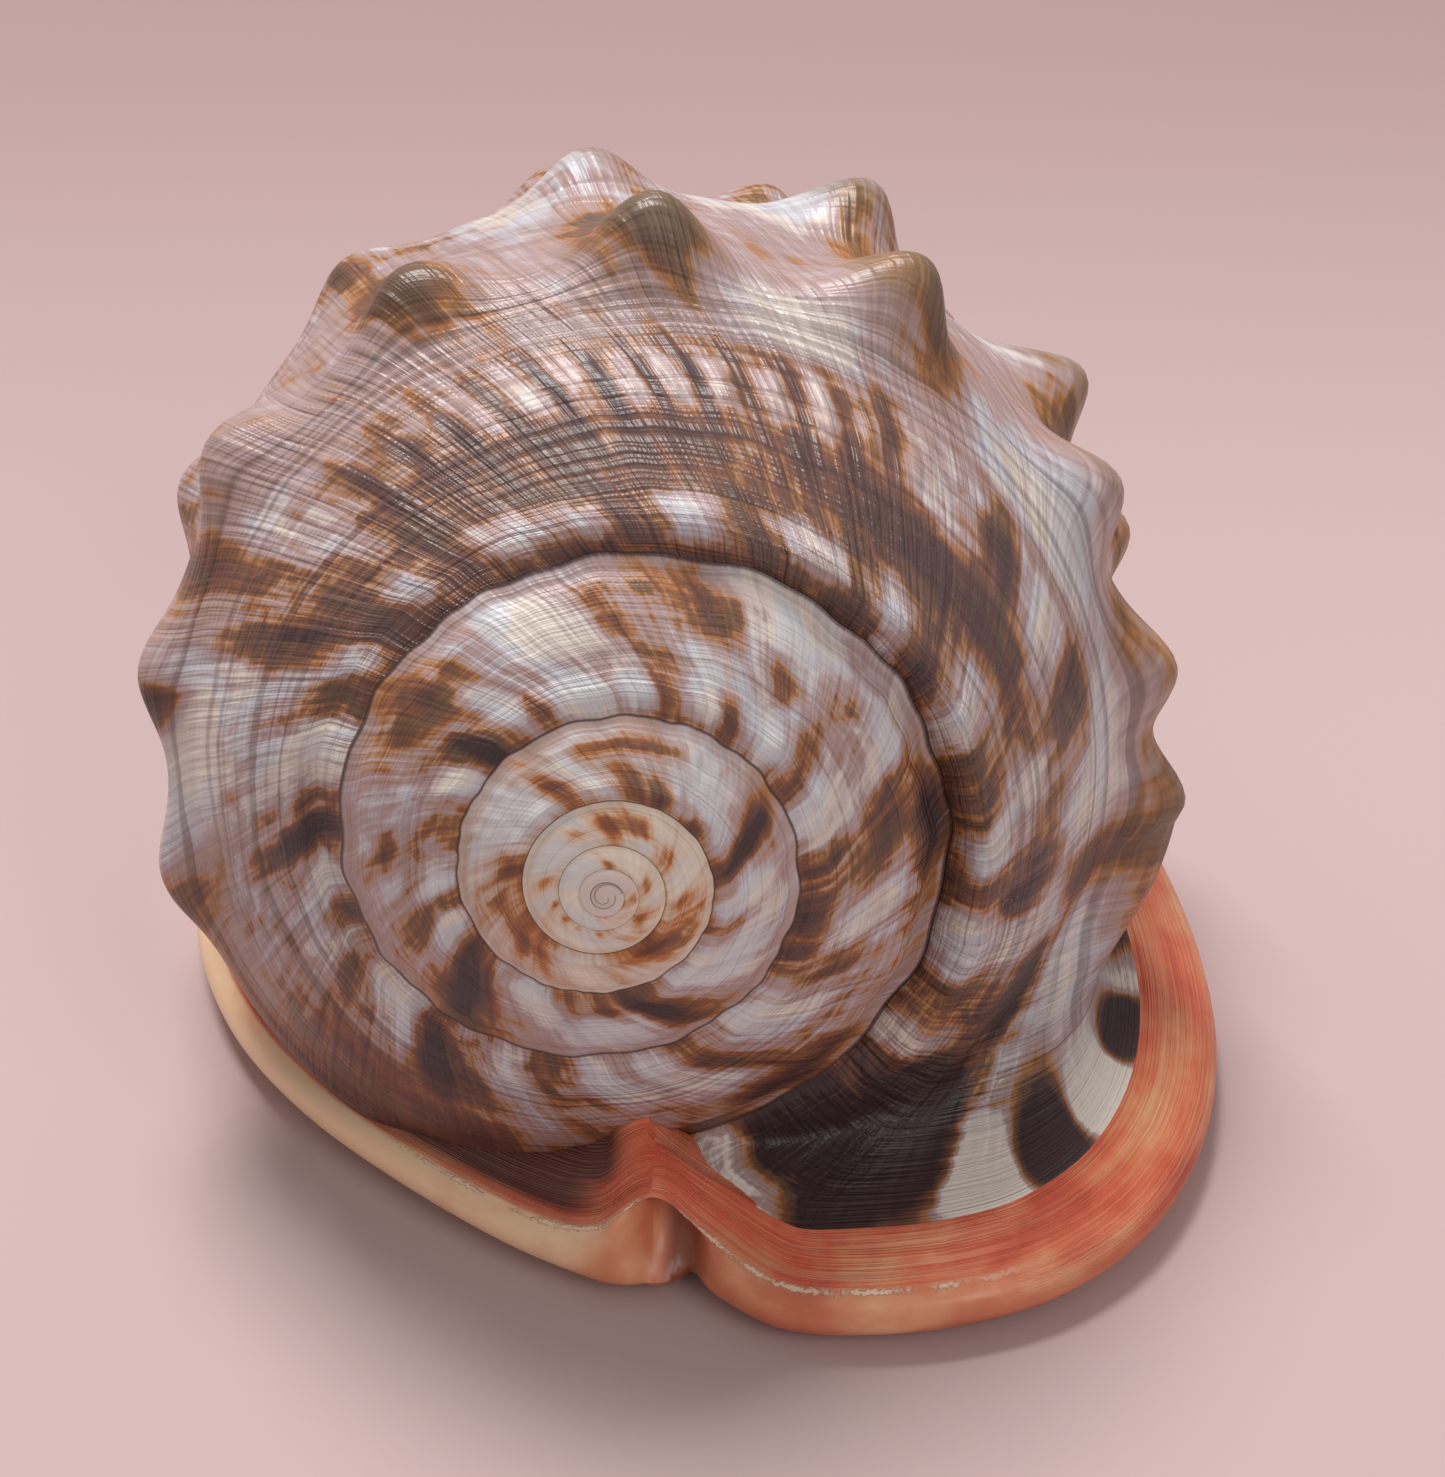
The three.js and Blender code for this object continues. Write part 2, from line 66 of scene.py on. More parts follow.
# Rows run round the last whorl from the suture to the canal: radius and depth below the apex at the
# reference turn, how fast the radius shrinks, how the depth changes, how far the whorl swells again
# under the shield, and how far the row's end turns up towards the canal.
REFERENCE_TURN = 0.45
ROWS = np.array([
    (33.2, 14.8, 0.61, 0, 0, 0), (36.4, 15.4, 0.61, 0, 0, 0), (39.6, 18.6, 0.61, 6, 0, 0),
    (44.6, 24.6, 0.6, 12, 2, 0), (49.2, 32.1, 0.6, 21.5, 6, 0), (53.2, 39, 0.55, 19, 11, 0),
    (56.4, 46, 0.5, 20, 13.5, 0), (57.2, 62, 0.5, 15, 14, 0), (56.2, 77, 0.48, 15, 13, 0),
    (53.4, 90, 0.44, 12, 12, 0), (49.4, 102, 0.4, 9, 10.5, 0), (45, 112, 0.36, 6, 9, 0),
    (39.8, 121, 0.3, 4, 7, 0), (33, 130, 0.22, 2, 4, 1), (25, 139, 0.12, 0, 1, 3.5),
    (18, 147, 0.04, 0, 0, 7), (0, 153, 0, 0, 0, 9),
])
LAST_ROW = len(ROWS) - 1
SWELL_FROM = 0.66
CORD_FADE = 0.2
SHOULDER_ROW = 6
ATTACH_ROW = 5
SPIRE_SHARE = np.array([0, 0.14, 0.3, 0.5, 0.76, 1])
SPIRE_PROUD = np.array([0, 0.052, 0.062, 0.075, 0.058, 0])
# Rows past the attachment run on inside the whorl before, so far out and so far down, by its radius
BEYOND_OUT, BEYOND_DOWN = 1.3, 0.12

# Big knobs: the row, how wide and how far across they reach, then the turn and height of each
KNOB_ROWS = [
    (6, 6.6, 0.62, [(0.187, 8.2), (0.227, 6.4), (0.287, 6.4), (0.373, 8.8), (0.449, 8.2),
                    (0.524, 5.6), (0.604, 5), (0.686, 3.8), (0.762, 3.2)]),
    (8, 6.6, 0.5, [(0.244, 7), (0.295, 9), (0.381, 8.8), (0.467, 6.4), (0.554, 4),
                   (0.653, 4.8), (0.735, 4.4), (0.81, 3.6)]),
    (10, 5.6, 0.62, [(0.235, 4.4), (0.315, 5.4), (0.398, 5.6), (0.482, 5.2), (0.566, 4.6),
                     (0.65, 4.2), (0.735, 3.6)]),
    (12, 4.8, 0.62, [(0.25, 3), (0.335, 3.6), (0.42, 3.8), (0.505, 3.6), (0.59, 3.2), (0.675, 2.8)]),
]

# Small swellings that stand up towards the spire: the row, how wide and how far across, turn and height
PADS = [(turn, 0.9) for turn in (0.345, 0.364, 0.383, 0.402, 0.42, 0.437, 0.454, 0.472, 0.491, 0.511, 0.53, 0.55)]
CORD_KNOBS = [
    (0.107, 0.5), (0.157, 0.8), (0.205, 0.7), (0.265, 0.8), (0.32, 0.8), (0.366, 0.9), (0.422, 1), (0.472, 0.8),
    (0.512, 0.8), (0.56, 0.9), (0.61, 0.8), (0.66, 0.7), (0.737, 0.7), (0.78, 0.6), (0.82, 0.7), (0.905, 0.7),
    (0.965, 0.6),
]
SPIRE_KNOBS = [(1 + 0.0525 * step, 0.34 if step % 2 else 0.5) for step in range(1, 41)]
SMALL_KNOBS = [(3.7, 1.9, 0.42, PADS), (1.3, 3.6, 0.75, CORD_KNOBS), (1.1, 2.0, 0.7, SPIRE_KNOBS)]
# How much of a knob's height leans towards the spire, and how a small one is shared out and up
KNOB_LEAN = 0.15
SMALL_OUT, SMALL_UP = 0.45, 0.85

# Outline of the base from the notch along the lip to the canal, then back along the shield
OUTLINE = np.array([
    (4, -3.2), (9.5, -4.8), (18, -11), (28, -12.6), (40, -11.6), (52, -7.6), (63, 1), (71, 13.5),
    (75.4, 28), (76.6, 43), (75.4, 59), (72, 76), (66, 93), (57, 109), (45, 124), (31, 137),
    (18, 146), (6, 150.5), (-6, 146), (-18, 135.5), (-31, 122), (-42, 107), (-50, 90), (-54, 72),
    (-53, 55), (-47.5, 39), (-38, 25), (-25, 12.2), (-12, 2), (-2.5, -2.8),
])
OUTLINE_COUNT = len(OUTLINE)
LIP_END = 17
DEEPEST_INWARD = 6
ROW_LANDING = np.array([0, 0.75, 1.4, 2.7, 4.6, 6.3, 8.3, 9.5, 10.6, 11.5, 12.3, 13, 13.7, 14.5, 15.3, 16.1, 17])
FLARE_START = np.array([0, 0.03, 0.065, 0.1, 0.135, 0.165, 0.182])

# Section of the rim, from the underside over the rolled edge and the crest to the band and inwards:
# how far in, and how high, for the lip and for the shield, and what the shield adds where it climbs
LIP_SECTION = np.array([
    (22, 0), (7, 0), (3.4, 0.7), (1, 2.4), (0, 4.6), (0.6, 6.8), (2.4, 8), (6, 9.4), (10, 10.6), (14, 10.2), (22, 9),
])
SHIELD_SECTION = np.array([
    (22, 0), (8, 0), (4.4, 0.8), (1.6, 2.4), (0, 4.8), (0.4, 7), (2, 8.2), (4.4, 8.4), (8, 8.2), (13, 8), (22, 8),
])
CLIMB = np.array([0, 0, 0, 0, 0, 0, 0, 0.8, 3, 7.4, 15])
NOTCH_CLIMB = np.array([0, 0, 0, 0, 0, 0, 0, 1.2, 4, 6.5, 10])
BAND_EDGE = 8
SECTION_END = len(LIP_SECTION) - 1

# By the notch the rim faces mostly this way, and has relief: height, then centre and spread in outline points
NOTCH_FACING = np.array([0.1, 1, 0])
NOTCH_PULL = 0.65
NOTCH_HOLLOW = (5, 0.22, 0.55)
NOTCH_FOLD = (2.2, 0.8, 0.24)
NOTCH_LOBE = (1.2, -0.35, 0.8)

# How finely each row of the last whorl is divided, and each turn
ROW_STEPS = [4, 5, 7, 8, 8, 8, 13, 12, 10, 9, 7, 6, 6, 6, 5, 6]
TURN_STEPS = 360
SPIRE_ENDS = [1, 2, 3, 6.25]
RIM_STEPS = 32
FAN_STEPS = 5
BASE_STEPS = 320
ROW_NUMBERS = np.arange(LAST_ROW + 1)

# Turn values that mark the rim and the mouth, and the section value that marks the back
RIM_TURN, MOUTH_TURN = -1.0, -2.0
BACK_SECTION = 9.0

# The lip sinks a little into the base at its ends, and its two hidden rows run this far inwards
LIP_SINK = 0.6
HIDDEN_ROWS = (2, 3.2)
# The base is drawn in under the lip, and closes on a spine with a start, a step and an offset
BASE_DRAWN_IN = 0.7
SPINE_START, SPINE_STEP, SPINE_OFFSET, SPINE_HEIGHT = 24, 10, 8, 8
WELD_REACH = 2e-6


def smooth(low, high, value):
    share = np.clip((np.asarray(value, float) - low) / (high - low), 0, 1)
    return share * share * (3 - 2 * share)


def mix(a, b, share):
    return a + (b - a) * share


def window(start, full, fading, end, value):
    """Rises from the first value to the second, and falls from the third to the fourth."""
    return smooth(start, full, value) * (1 - smooth(fading, end, value))


def bell(value, height, centre, spread):
    return height * np.exp(-((value - centre) / spread) ** 2)


def spline(p0, p1, p2, p3, f):
    """Smooth curve through four points, at a fraction of the way from the second to the third."""
    return 0.5 * (2 * p1 + (p2 - p0) * f + (2 * p0 - 5 * p1 + 4 * p2 - p3) * f * f
                  + (3 * p1 - p0 - 3 * p2 + p3) * f ** 3)


def catmull(table, place, wrap=False):
    """Smooth value of a table at a place, a row number with a fraction."""
    row = np.floor(place).astype(int)
    if not wrap:
        row = np.clip(row, 0, len(table) - 2)
    f = place - row
    rows = [(row + k) % len(table) if wrap else np.clip(row + k, 0, len(table) - 1) for k in (-1, 0, 1, 2)]
    points = [table[k] for k in rows]
    if points[1].ndim > np.ndim(f):
        f = np.asarray(f)[..., None]
    return spline(*points, f)


def suture(turn):
    """Radius and depth of the suture, which runs in small uneven waves away from the lip."""
    turn = np.asarray(turn, float)
    share = np.exp(-SUTURE_SHRINK * turn - SUTURE_SHRINK_CHANGE * turn * turn)
    wave = sum(strength * np.sin(2 * math.pi * count * turn + change * np.sin(speed * turn))
               for strength, count, change, speed in SUTURE_WAVES)
    wave = wave * SUTURE_WAVE * smooth(0.02, 0.1, turn) * (1 - smooth(1.6, 3, turn))
    return np.stack([(SUTURE_RADIUS + wave) * share, SPIRE_HEIGHT * share ** SPIRE_CURVE], -1)


def plain_row(row, turn):
    radius, depth, shrink, rise, swell, _ = np.moveaxis(ROWS[row], -1, 0)
    return np.stack([
        radius * np.exp(-shrink * (turn - REFERENCE_TURN)) + swell * smooth(SWELL_FROM, 1, turn),
        depth - rise * (turn * turn - REFERENCE_TURN * REFERENCE_TURN),
    ], -1)


def body_row(row, turn):
    """Radius and depth of a row on the last whorl. The cord by the suture flattens out towards the lip."""
    inner = suture(turn)
    point = plain_row(row, turn)
    level = inner + (plain_row(np.full_like(row, 3), turn) - inner) * (row / 3)[..., None]
    flat = np.where((row == 1) | (row == 2), 1 - smooth(0, CORD_FADE, turn), 0)[..., None]
    return np.where((row == 0)[..., None], inner, mix(point, level, flat))


def spire_row(row, turn):
    inner = suture(turn)
    outer = suture(turn - 1)
    run, fall = np.moveaxis(outer - inner, -1, 0)
    known = np.minimum(row, ATTACH_ROW)
    share, proud = SPIRE_SHARE[known], SPIRE_PROUD[known]
    point = np.stack([inner[..., 0] + run * share + fall * proud, inner[..., 1] + fall * share - run * proud], -1)
    beyond = np.stack([outer[..., 0] * BEYOND_OUT, outer[..., 1] + outer[..., 0] * BEYOND_DOWN], -1)
    return np.where((row >= SHOULDER_ROW)[..., None], beyond, point)


def row_point(row, turn):
    row = np.clip(row, 0, LAST_ROW)
    start = np.where(row >= ATTACH_ROW, 0.9, 0.7)
    on_spire = np.where(row > SHOULDER_ROW, 0, smooth(start, 1, turn))[..., None]
    return mix(body_row(row, turn), spire_row(row, turn), on_spire)


def knob_height(place, turn, radius, knob_rows=KNOB_ROWS):
    height = np.zeros_like(radius)
    for row, width, reach, knobs in knob_rows:
        off = (place - row) / reach
        for at, tall in knobs:
            along = (turn - at) * 2 * math.pi * radius / width
            height += tall * np.exp(-along * along - off * off)
    return height


def coil_point(place, turn, knobs=1.0):
    place, turn = np.broadcast_arrays(np.asarray(place, float), np.asarray(turn, float))
    row = np.clip(np.floor(place).astype(int), 0, LAST_ROW - 1)
    f = (place - row)[..., None]
    point = spline(*(row_point(row + k, turn) for k in (-1, 0, 1, 2)), f)
    radius, depth = point[..., 0], point[..., 1]
    knob = np.where(turn < 1, knobs * knob_height(place, turn, radius), 0)
    off_seam = smooth(0, 0.5, place) * np.where(turn >= 1, 1 - smooth(4.4, 5, place), 1)
    small = knobs * off_seam * knob_height(place, turn, radius, SMALL_KNOBS)
    radius = radius + knob + SMALL_OUT * small
    depth = depth - KNOB_LEAN * knob - SMALL_UP * small
    angle = LIP_ANGLE + 2 * math.pi * turn
    xyz = (APEX + SIDE * (radius * np.cos(angle))[..., None] + ACROSS * (radius * np.sin(angle))[..., None]
           - AXIS * depth[..., None])
    xyz[..., 2] += mix(ROWS[row, 5], ROWS[row + 1, 5], f[..., 0])
    low = xyz[..., 2] - LOWEST_BODY - LOWEST_BLEND
    lowest = LOWEST_BODY + LOWEST_BLEND * np.exp(np.minimum(low, 0) / LOWEST_BLEND)
    xyz[..., 2] = np.where(low < 0, lowest, xyz[..., 2])
    return xyz


def outline_point(place):
    flat = catmull(OUTLINE, np.asarray(place, float), wrap=True)
    return np.concatenate([flat + APEX[:2], np.zeros(flat.shape[:-1] + (1,))], -1)


def from_notch(place):
    """Signed number of outline points from the notch."""
    place = np.asarray(place, float)
    return np.where(place > OUTLINE_COUNT / 2, place - OUTLINE_COUNT, place)


def outline_inward(place):
    nudge = 0.2
    way = outline_point(np.asarray(place) + nudge) - outline_point(np.asarray(place) - nudge)
    way /= np.linalg.norm(way, axis=-1, keepdims=True)
    inward = np.stack([-way[..., 1], way[..., 0], np.zeros(way.shape[:-1])], -1)
    off = from_notch(place)
    zone = np.where(off < 0, smooth(-2.6, 0, off), 1 - smooth(0, 3.4, off))
    inward = mix(inward, NOTCH_FACING, NOTCH_PULL * zone[..., None])
    return inward / np.linalg.norm(inward, axis=-1, keepdims=True), zone


def lip_share(place):
    return smooth(-0.6, 0.5, from_notch(place)) * (1 - smooth(LIP_END - 1, LIP_END + 1, place))


def rim_point(place, index):
    """A point of the rim: a place on the outline and a point of its section, each with a fraction."""
    place, index = np.broadcast_arrays(np.asarray(place, float), np.asarray(index, float))
    lip = lip_share(place)
    inward, zone = outline_inward(place)
    off = from_notch(place)
    beside = np.where(off < 0, smooth(-4.5, -0.8, off), 1 - smooth(0, 1, off))
    climb = window(17.5, 20, 24.5, 27.5, place)
    shield, edge = catmull(SHIELD_SECTION, index), catmull(LIP_SECTION, index)
    deep = mix(shield[..., 0], edge[..., 0], lip)
    kept = np.minimum(deep, DEEPEST_INWARD) + np.maximum(deep - DEEPEST_INWARD, 0) * (1 - 0.6 * zone)
    hollow = bell(off, *NOTCH_HOLLOW) * smooth(3.7, 4.6, index) * (1 - smooth(5.3, 6.2, index))
    fold = bell(off, *NOTCH_FOLD) * (1 - smooth(4.9, 6.2, index))
    lobe = bell(off, *NOTCH_LOBE) * (1 - smooth(3.6, 4.8, index))
    kept = kept + hollow + fold - lobe
    point = outline_point(place) + inward * kept[..., None]
    up = mix(shield[..., 1] + catmull(CLIMB, index) * climb + catmull(NOTCH_CLIMB, index) * beside, edge[..., 1], lip)
    point[..., 2] = up + NOTCH_RISE * np.exp(-off * off / 0.9) * smooth(4, 9, up)
    return point


def landing(place):
    return np.interp(place, ROW_NUMBERS, ROW_LANDING)


def lip_point(place):
    """The point of the band that a row meets, and the way out over the lip there."""
    at = landing(place)
    point = mix(rim_point(at, BAND_EDGE - 1), rim_point(at, BAND_EDGE), smooth(0, 2.5, at)[..., None])
    on_suture = 1 - smooth(0, 1.2, place)
    return mix(point, coil_point(np.zeros_like(place), 0.0), on_suture[..., None]), -outline_inward(at)[0]


def body_point(place, turn):
    """The last whorl: the coil, with its first stretch behind the lip flared out to the band."""
    place, turn = np.broadcast_arrays(np.asarray(place, float), np.asarray(turn, float))
    start = np.interp(place, np.arange(len(FLARE_START)), FLARE_START)
    coil = coil_point(place, turn)
    safe = np.maximum(start, 1e-6)
    f = np.clip(1 - turn / safe, 0, 1)[..., None]
    nudge = 0.002
    base = coil_point(place, safe, 0.0)
    base_way = (coil_point(place, safe - nudge, 0.0) - base) * (safe / nudge)[..., None]
    knob = (coil_point(place, safe) - base) * (1 - smooth(0, 0.6, f))
    point, out = lip_point(place)
    way = out * mix(3, 18, smooth(0.5, 4, place))[..., None]
    way[..., 2] = 1
    flared = (base * (2 * f ** 3 - 3 * f * f + 1) + base_way * (f ** 3 - 2 * f * f + f)
              + point * (3 * f * f - 2 * f ** 3) + way * (f ** 3 - f * f) + knob)
    return np.where(((turn >= start) | (start == 0))[..., None], coil, flared)


def deselect():
    bpy.ops.object.select_all(action="DESELECT")


def select(*pieces):
    deselect()
    for piece in pieces:
        piece.select_set(True)
    bpy.context.view_layer.objects.active = pieces[0]


def read_uv(mesh, name):
    uv = np.empty(len(mesh.loops) * 2, np.float32)
    mesh.uv_layers[name].data.foreach_get("uv", uv)
    return uv.reshape(-1, 2)


def lay_grid(name, points, coil_uv, rim_uv):
    """Lays a primitive grid over a table of points. coil_uv is turn and place, rim_uv is outline and section."""
    deselect()
    long_side, short_side = points.shape[:2]
    bpy.ops.mesh.primitive_grid_add(x_subdivisions=short_side - 1, y_subdivisions=long_side - 1, size=1)
    sheet = bpy.context.object
    sheet.name = name
    mesh = sheet.data
    mesh.vertices.foreach_set("co", (points / 1000).reshape(-1))
    corner = np.empty(len(mesh.loops), int)
    mesh.loops.foreach_get("vertex_index", corner)
    mesh.uv_layers[0].name = "coil"
    mesh.uv_layers.new(name="rim")
    for layer, values in (("coil", coil_uv), ("rim", rim_uv)):
        flat = np.broadcast_to(values, points.shape[:2] + (2,)).reshape(-1, 2)
        mesh.uv_layers[layer].data.foreach_set("uv", flat[corner].reshape(-1))
    return sheet


def weld(sheets, name):
    """Joins sheets into one closed piece, merges the points that coincide and turns the faces outwards."""
    select(*sheets)
    if len(sheets) > 1:
        bpy.ops.object.join()
    piece = bpy.context.object
    piece.name = name
    bpy.ops.object.mode_set(mode="EDIT")
    bpy.ops.mesh.select_all(action="SELECT")
    bpy.ops.mesh.remove_doubles(threshold=WELD_REACH)
    bpy.ops.mesh.normals_make_consistent(inside=False)
    bpy.ops.object.mode_set(mode="OBJECT")
    return piece


def combine(piece, tool, operation):
    select(piece)
    cut = piece.modifiers.new(operation.lower(), "BOOLEAN")
    cut.operation = operation
    cut.object = tool
    cut.solver = "MANIFOLD"
    bpy.ops.object.modifier_apply(modifier=cut.name)
    bpy.data.objects.remove(tool)


def table(first, second):
    return np.stack(np.meshgrid(first, second, indexing="ij"), -1)


def row_places(steps):
    """Places across the rows, each row divided into its number of steps."""
    return np.concatenate([np.linspace(row, row + 1, count, endpoint=False) for row, count in enumerate(steps)]
                          + [[len(steps)]])


def lay_body():
    """The last whorl with the lip that it grows into, from the underside of the rim round to the shield."""
    places = row_places(ROW_STEPS)
    turns = np.linspace(0, 1, TURN_STEPS + 1)
    sections = mix(1, BAND_EDGE, np.linspace(0, 1, RIM_STEPS + 1))
    at = landing(places)
    body = body_point(places[None], turns[:, None])
    sunk = LIP_SINK * (1 - smooth(0.1, 0.6, at)) + LIP_SINK * smooth(16.2, 16.8, at)
    inward = outline_inward(at)[0]
    rim = rim_point(at[None], sections[:, None]) + (inward * sunk[:, None])[None]
    fan = mix(rim[-1], body[0], np.linspace(0, 1, FAN_STEPS + 2)[1:-1, None, None])
    corner = coil_point(0.0, 0.0)
    corner[2] = SEAL_HEIGHT
    inner, raised = (rim[0] + inward * reach for reach in HIDDEN_ROWS)
    raised[:, 2] = SEAL_HEIGHT
    back = body[-1].copy()
    back[:, 2] = SEAL_HEIGHT
    back[places < ATTACH_ROW] = corner
    sheet = np.concatenate([back[None], raised[None], inner[None], rim, fan, body])
    rim_columns = len(sheet) - len(body)
    tip = coil_point(float(LAST_ROW), 0.5)
    sheet[:, -1] = tip
    cap = sheet[:, 0].copy()
    cap[:rim_columns] = corner
    sheet = np.concatenate([cap[:, None], sheet], 1)
    grown = np.concatenate([np.full(rim_columns, RIM_TURN), turns])
    coil_uv = table(grown, np.concatenate([places[:1], places]))
    lines = np.concatenate([[0, 0.2, 0.6], sections, np.full(FAN_STEPS, float(BAND_EDGE)),
                            np.full(len(turns), BACK_SECTION)])
    rim_uv = table(lines, np.concatenate([at[:1], at]))[..., ::-1].copy()
    coil_uv[:rim_columns, -2:] = (1, LAST_ROW)
    main = lay_grid("last_whorl", sheet, coil_uv, rim_uv)
    # The far end of the whorl goes down into the base from the attachment on
    start = np.searchsorted(places, ATTACH_ROW) + 1
    down = np.stack([sheet[-1, start:], sheet[0, start:]])
    end = lay_grid("whorl_end", down, table([1.0, 1.0], places[start - 1:]), np.array([0.0, BACK_SECTION]))
    return main, end


def lay_spire():
    sheets = []
    for number, (start, stop) in enumerate(zip(SPIRE_ENDS, SPIRE_ENDS[1:])):
        step = 2 ** number
        places = row_places(ROW_STEPS[:ATTACH_ROW])[::step]
        turns = np.linspace(start, stop, round((stop - start) * TURN_STEPS) + 1)
        points = coil_point(places[None], turns[:, None])
        if stop != SPIRE_ENDS[-1]:
            points[-1, 1::2] = points[-1, 0:-1:2]
        sheets.append(lay_grid("spire", points, table(turns, places), np.array([0.0, BACK_SECTION])))
    last_turns = np.linspace(SPIRE_ENDS[-1] - 1, SPIRE_ENDS[-1], TURN_STEPS + 1)
    rim = coil_point(0.0, last_turns)
    seam = coil_point(places, SPIRE_ENDS[-1])
    ring = np.concatenate([rim, seam[1:]])
    top = APEX + AXIS * 0.12
    cap = np.stack([ring, np.broadcast_to(top, ring.shape)])
    turns = np.concatenate([last_turns, np.full(len(seam) - 1, SPIRE_ENDS[-1])])
    # One turn further and a row from its edge to its middle, so the finish can wind the suture's painted shade line
    # over it
    uv = np.stack([np.stack([turns + 1, np.full(len(turns), share)], -1) for share in (0.0, 1.0)])
    sheets.append(lay_grid("nucleus", cap, uv, np.array([0.0, BACK_SECTION])))
    return sheets


def lay_base():
    """The flat base with the shield's rim, drawn in a little under the lip, which covers it."""
    around = np.linspace(0, OUTLINE_COUNT, BASE_STEPS + 1)
    sections = np.concatenate([[0], np.linspace(1, SECTION_END, 38)])
    ring = rim_point(around[:, None], sections[None])
    under_lip = (smooth(0.3, 0.9, from_notch(around)) * (1 - smooth(16.2, 16.8, around)))[:, None]
    inward = outline_inward(around)[0][:, None]
    ring = ring + inward * (BASE_DRAWN_IN * under_lip * (sections < 6.5))[..., None]
    ring[..., 2] += under_lip * np.select([sections < 1.2, sections < 3, sections > 4.5],
                                          [0, LIP_SINK, -BASE_DRAWN_IN])
    ring[-1] = ring[0]
    number = np.clip(np.round((ring[:, 0, 1] - APEX[1] - SPINE_START) / SPINE_STEP), 0, 10)
    spine = np.stack([np.full(len(number), APEX[0] + SPINE_OFFSET), APEX[1] + SPINE_START + SPINE_STEP * number,
                      np.zeros(len(number))], -1)
    top = spine + np.array([0, 0, SPINE_HEIGHT])
    points = np.concatenate([spine[:, None], ring, top[:, None]], 1)
    lines = np.concatenate([[0], sections, [SECTION_END]])
    uv = table(around, lines)
    return lay_grid("base", points, np.array([RIM_TURN, 0]), uv)


def slot_middle(y):
    bow = np.sin(math.pi * np.clip((y + 12) / 150, 0, 1))
    return 9 + 7 * bow - 5 * smooth(100, 150, y) - 5 * (1 - smooth(-10, 10, y))


MOUTH_TEETH = 21
TEETH_START, TEETH_END = 14, 126
TOOTH_HEIGHT = 1.5
MOUTH_END = 158
CANAL_WIDER = 2.2
# Edges of the slot from below upwards: height, how far it opens out there, and how much of a tooth is left
SLOT_EDGES = [(-6, 3.4, 0), (-1, 2.6, 0.1), (0, 2.2, 0.3), (0.8, 1.1, 0.6), (2.6, 0, 1), (5, 0, 1), (7.4, 0.2, 0.9)]


def lay_mouth():
    """The mouth as a solid to cut away: a toothed slot under a hollow that leans to the lip."""
    stations = np.concatenate([np.linspace(0, TEETH_START, 10, endpoint=False),
                               np.linspace(TEETH_START, TEETH_END, MOUTH_TEETH * 8, endpoint=False),
                               np.linspace(TEETH_END, MOUTH_END, 20)])
    rings = []
    for y in stations:
        toothed = window(TEETH_START - 2, TEETH_START + 2, TEETH_END - 3, TEETH_END + 1, y)
        wave = 0.5 + 0.5 * math.cos(2 * math.pi * MOUTH_TEETH * (y - TEETH_START) / (TEETH_END - TEETH_START))
        tooth = TOOTH_HEIGHT * toothed * wave ** 1.6
        middle = float(slot_middle(y))
        # At the canal the slot widens to the side of the shield and reaches up to the end of the whorl
        widened = CANAL_WIDER * smooth(138, 147, y)
        middle -= widened
        half = mix(1.1, 4.9, smooth(-2, 24, y)) - 1.3 * smooth(110, 140, y) + widened
        room = window(15, 42, 104, 140, y)
        arch = smooth(8, 34, y)
        canal = smooth(134, 154, y)
        shelf = mix(4.4, 10, arch) + canal * 8
        centre = (middle + 15 * room, mix(mix(5, 11, arch), 37, room) + canal * 10)
        wide, tall = mix(half, 21, room), mix(1.2 + 2 * widened, 24, room)
        opened = smooth(-6, 12, y)
        left, right = [], []
        for z, edge, share in SLOT_EDGES:
            lift = z + canal * z * 0.2
            left.append((middle - half - edge * opened + 0.7 * tooth * share, lift))
            right.append((middle + half + edge * opened - tooth * share, lift))
        left.append((middle - half, shelf))
        right.append((middle + half, shelf))
        angles = np.radians(mix(205, -25, np.arange(1, 18) / 18))
        over = np.stack([centre[0] + wide * np.cos(angles), centre[1] + tall * np.sin(angles)], -1)
        section = np.array(left + [tuple(p) for p in over] + right[::-1])
        rings.append(np.stack([APEX[0] + section[:, 0], np.full(len(section), APEX[1] + y), section[:, 1]], -1))
    rings = np.array(rings)
    rings = np.concatenate([rings, rings[:, :1]], 1)
    first = np.broadcast_to(rings[0].mean(0), rings[:1].shape)
    last = np.broadcast_to(rings[-1].mean(0), rings[:1].shape)
    points = np.concatenate([first, rings, last])
    uv = np.stack([points[..., 1] - APEX[1], points[..., 2]], -1)
    return lay_grid("mouth", points, np.array([MOUTH_TURN, 0]), uv)


main_sheets = list(lay_body()) + lay_spire()
shell = weld(main_sheets, "helmet_shell")
base = weld([lay_base()], "base")
mouth = weld([lay_mouth()], "mouth")
combine(shell, base, "UNION")
combine(shell, mouth, "DIFFERENCE")
select(shell)
bpy.ops.object.shade_smooth_by_angle(angle=math.radians(50))

# Growth lines lean back from the suture to the knobs: by how many turns at each row
LEAN = [0, 0.008, 0.022, 0.04, 0.055, 0.07, 0.085, 0.1, 0.112, 0.12, 0.128, 0.135, 0.14, 0.145, 0.15, 0.15, 0.15]

# The whorl as the marks and the growth lines see it: radius at the lip, width of a step across the rows,
# radius and height by which a knob counts as a full one
LINE_RADIUS = 46
STEP_WIDTH = 1.25
KNOB_RADIUS, KNOB_FULL = 50, 9
# A mark's edge along the rows, as a share of its stated half length
MARK_LENGTH = 0.8


def in_turns(marks):
    return [(turn / 1000, row, wide / 1000, long) for turn, row, wide, long in marks]


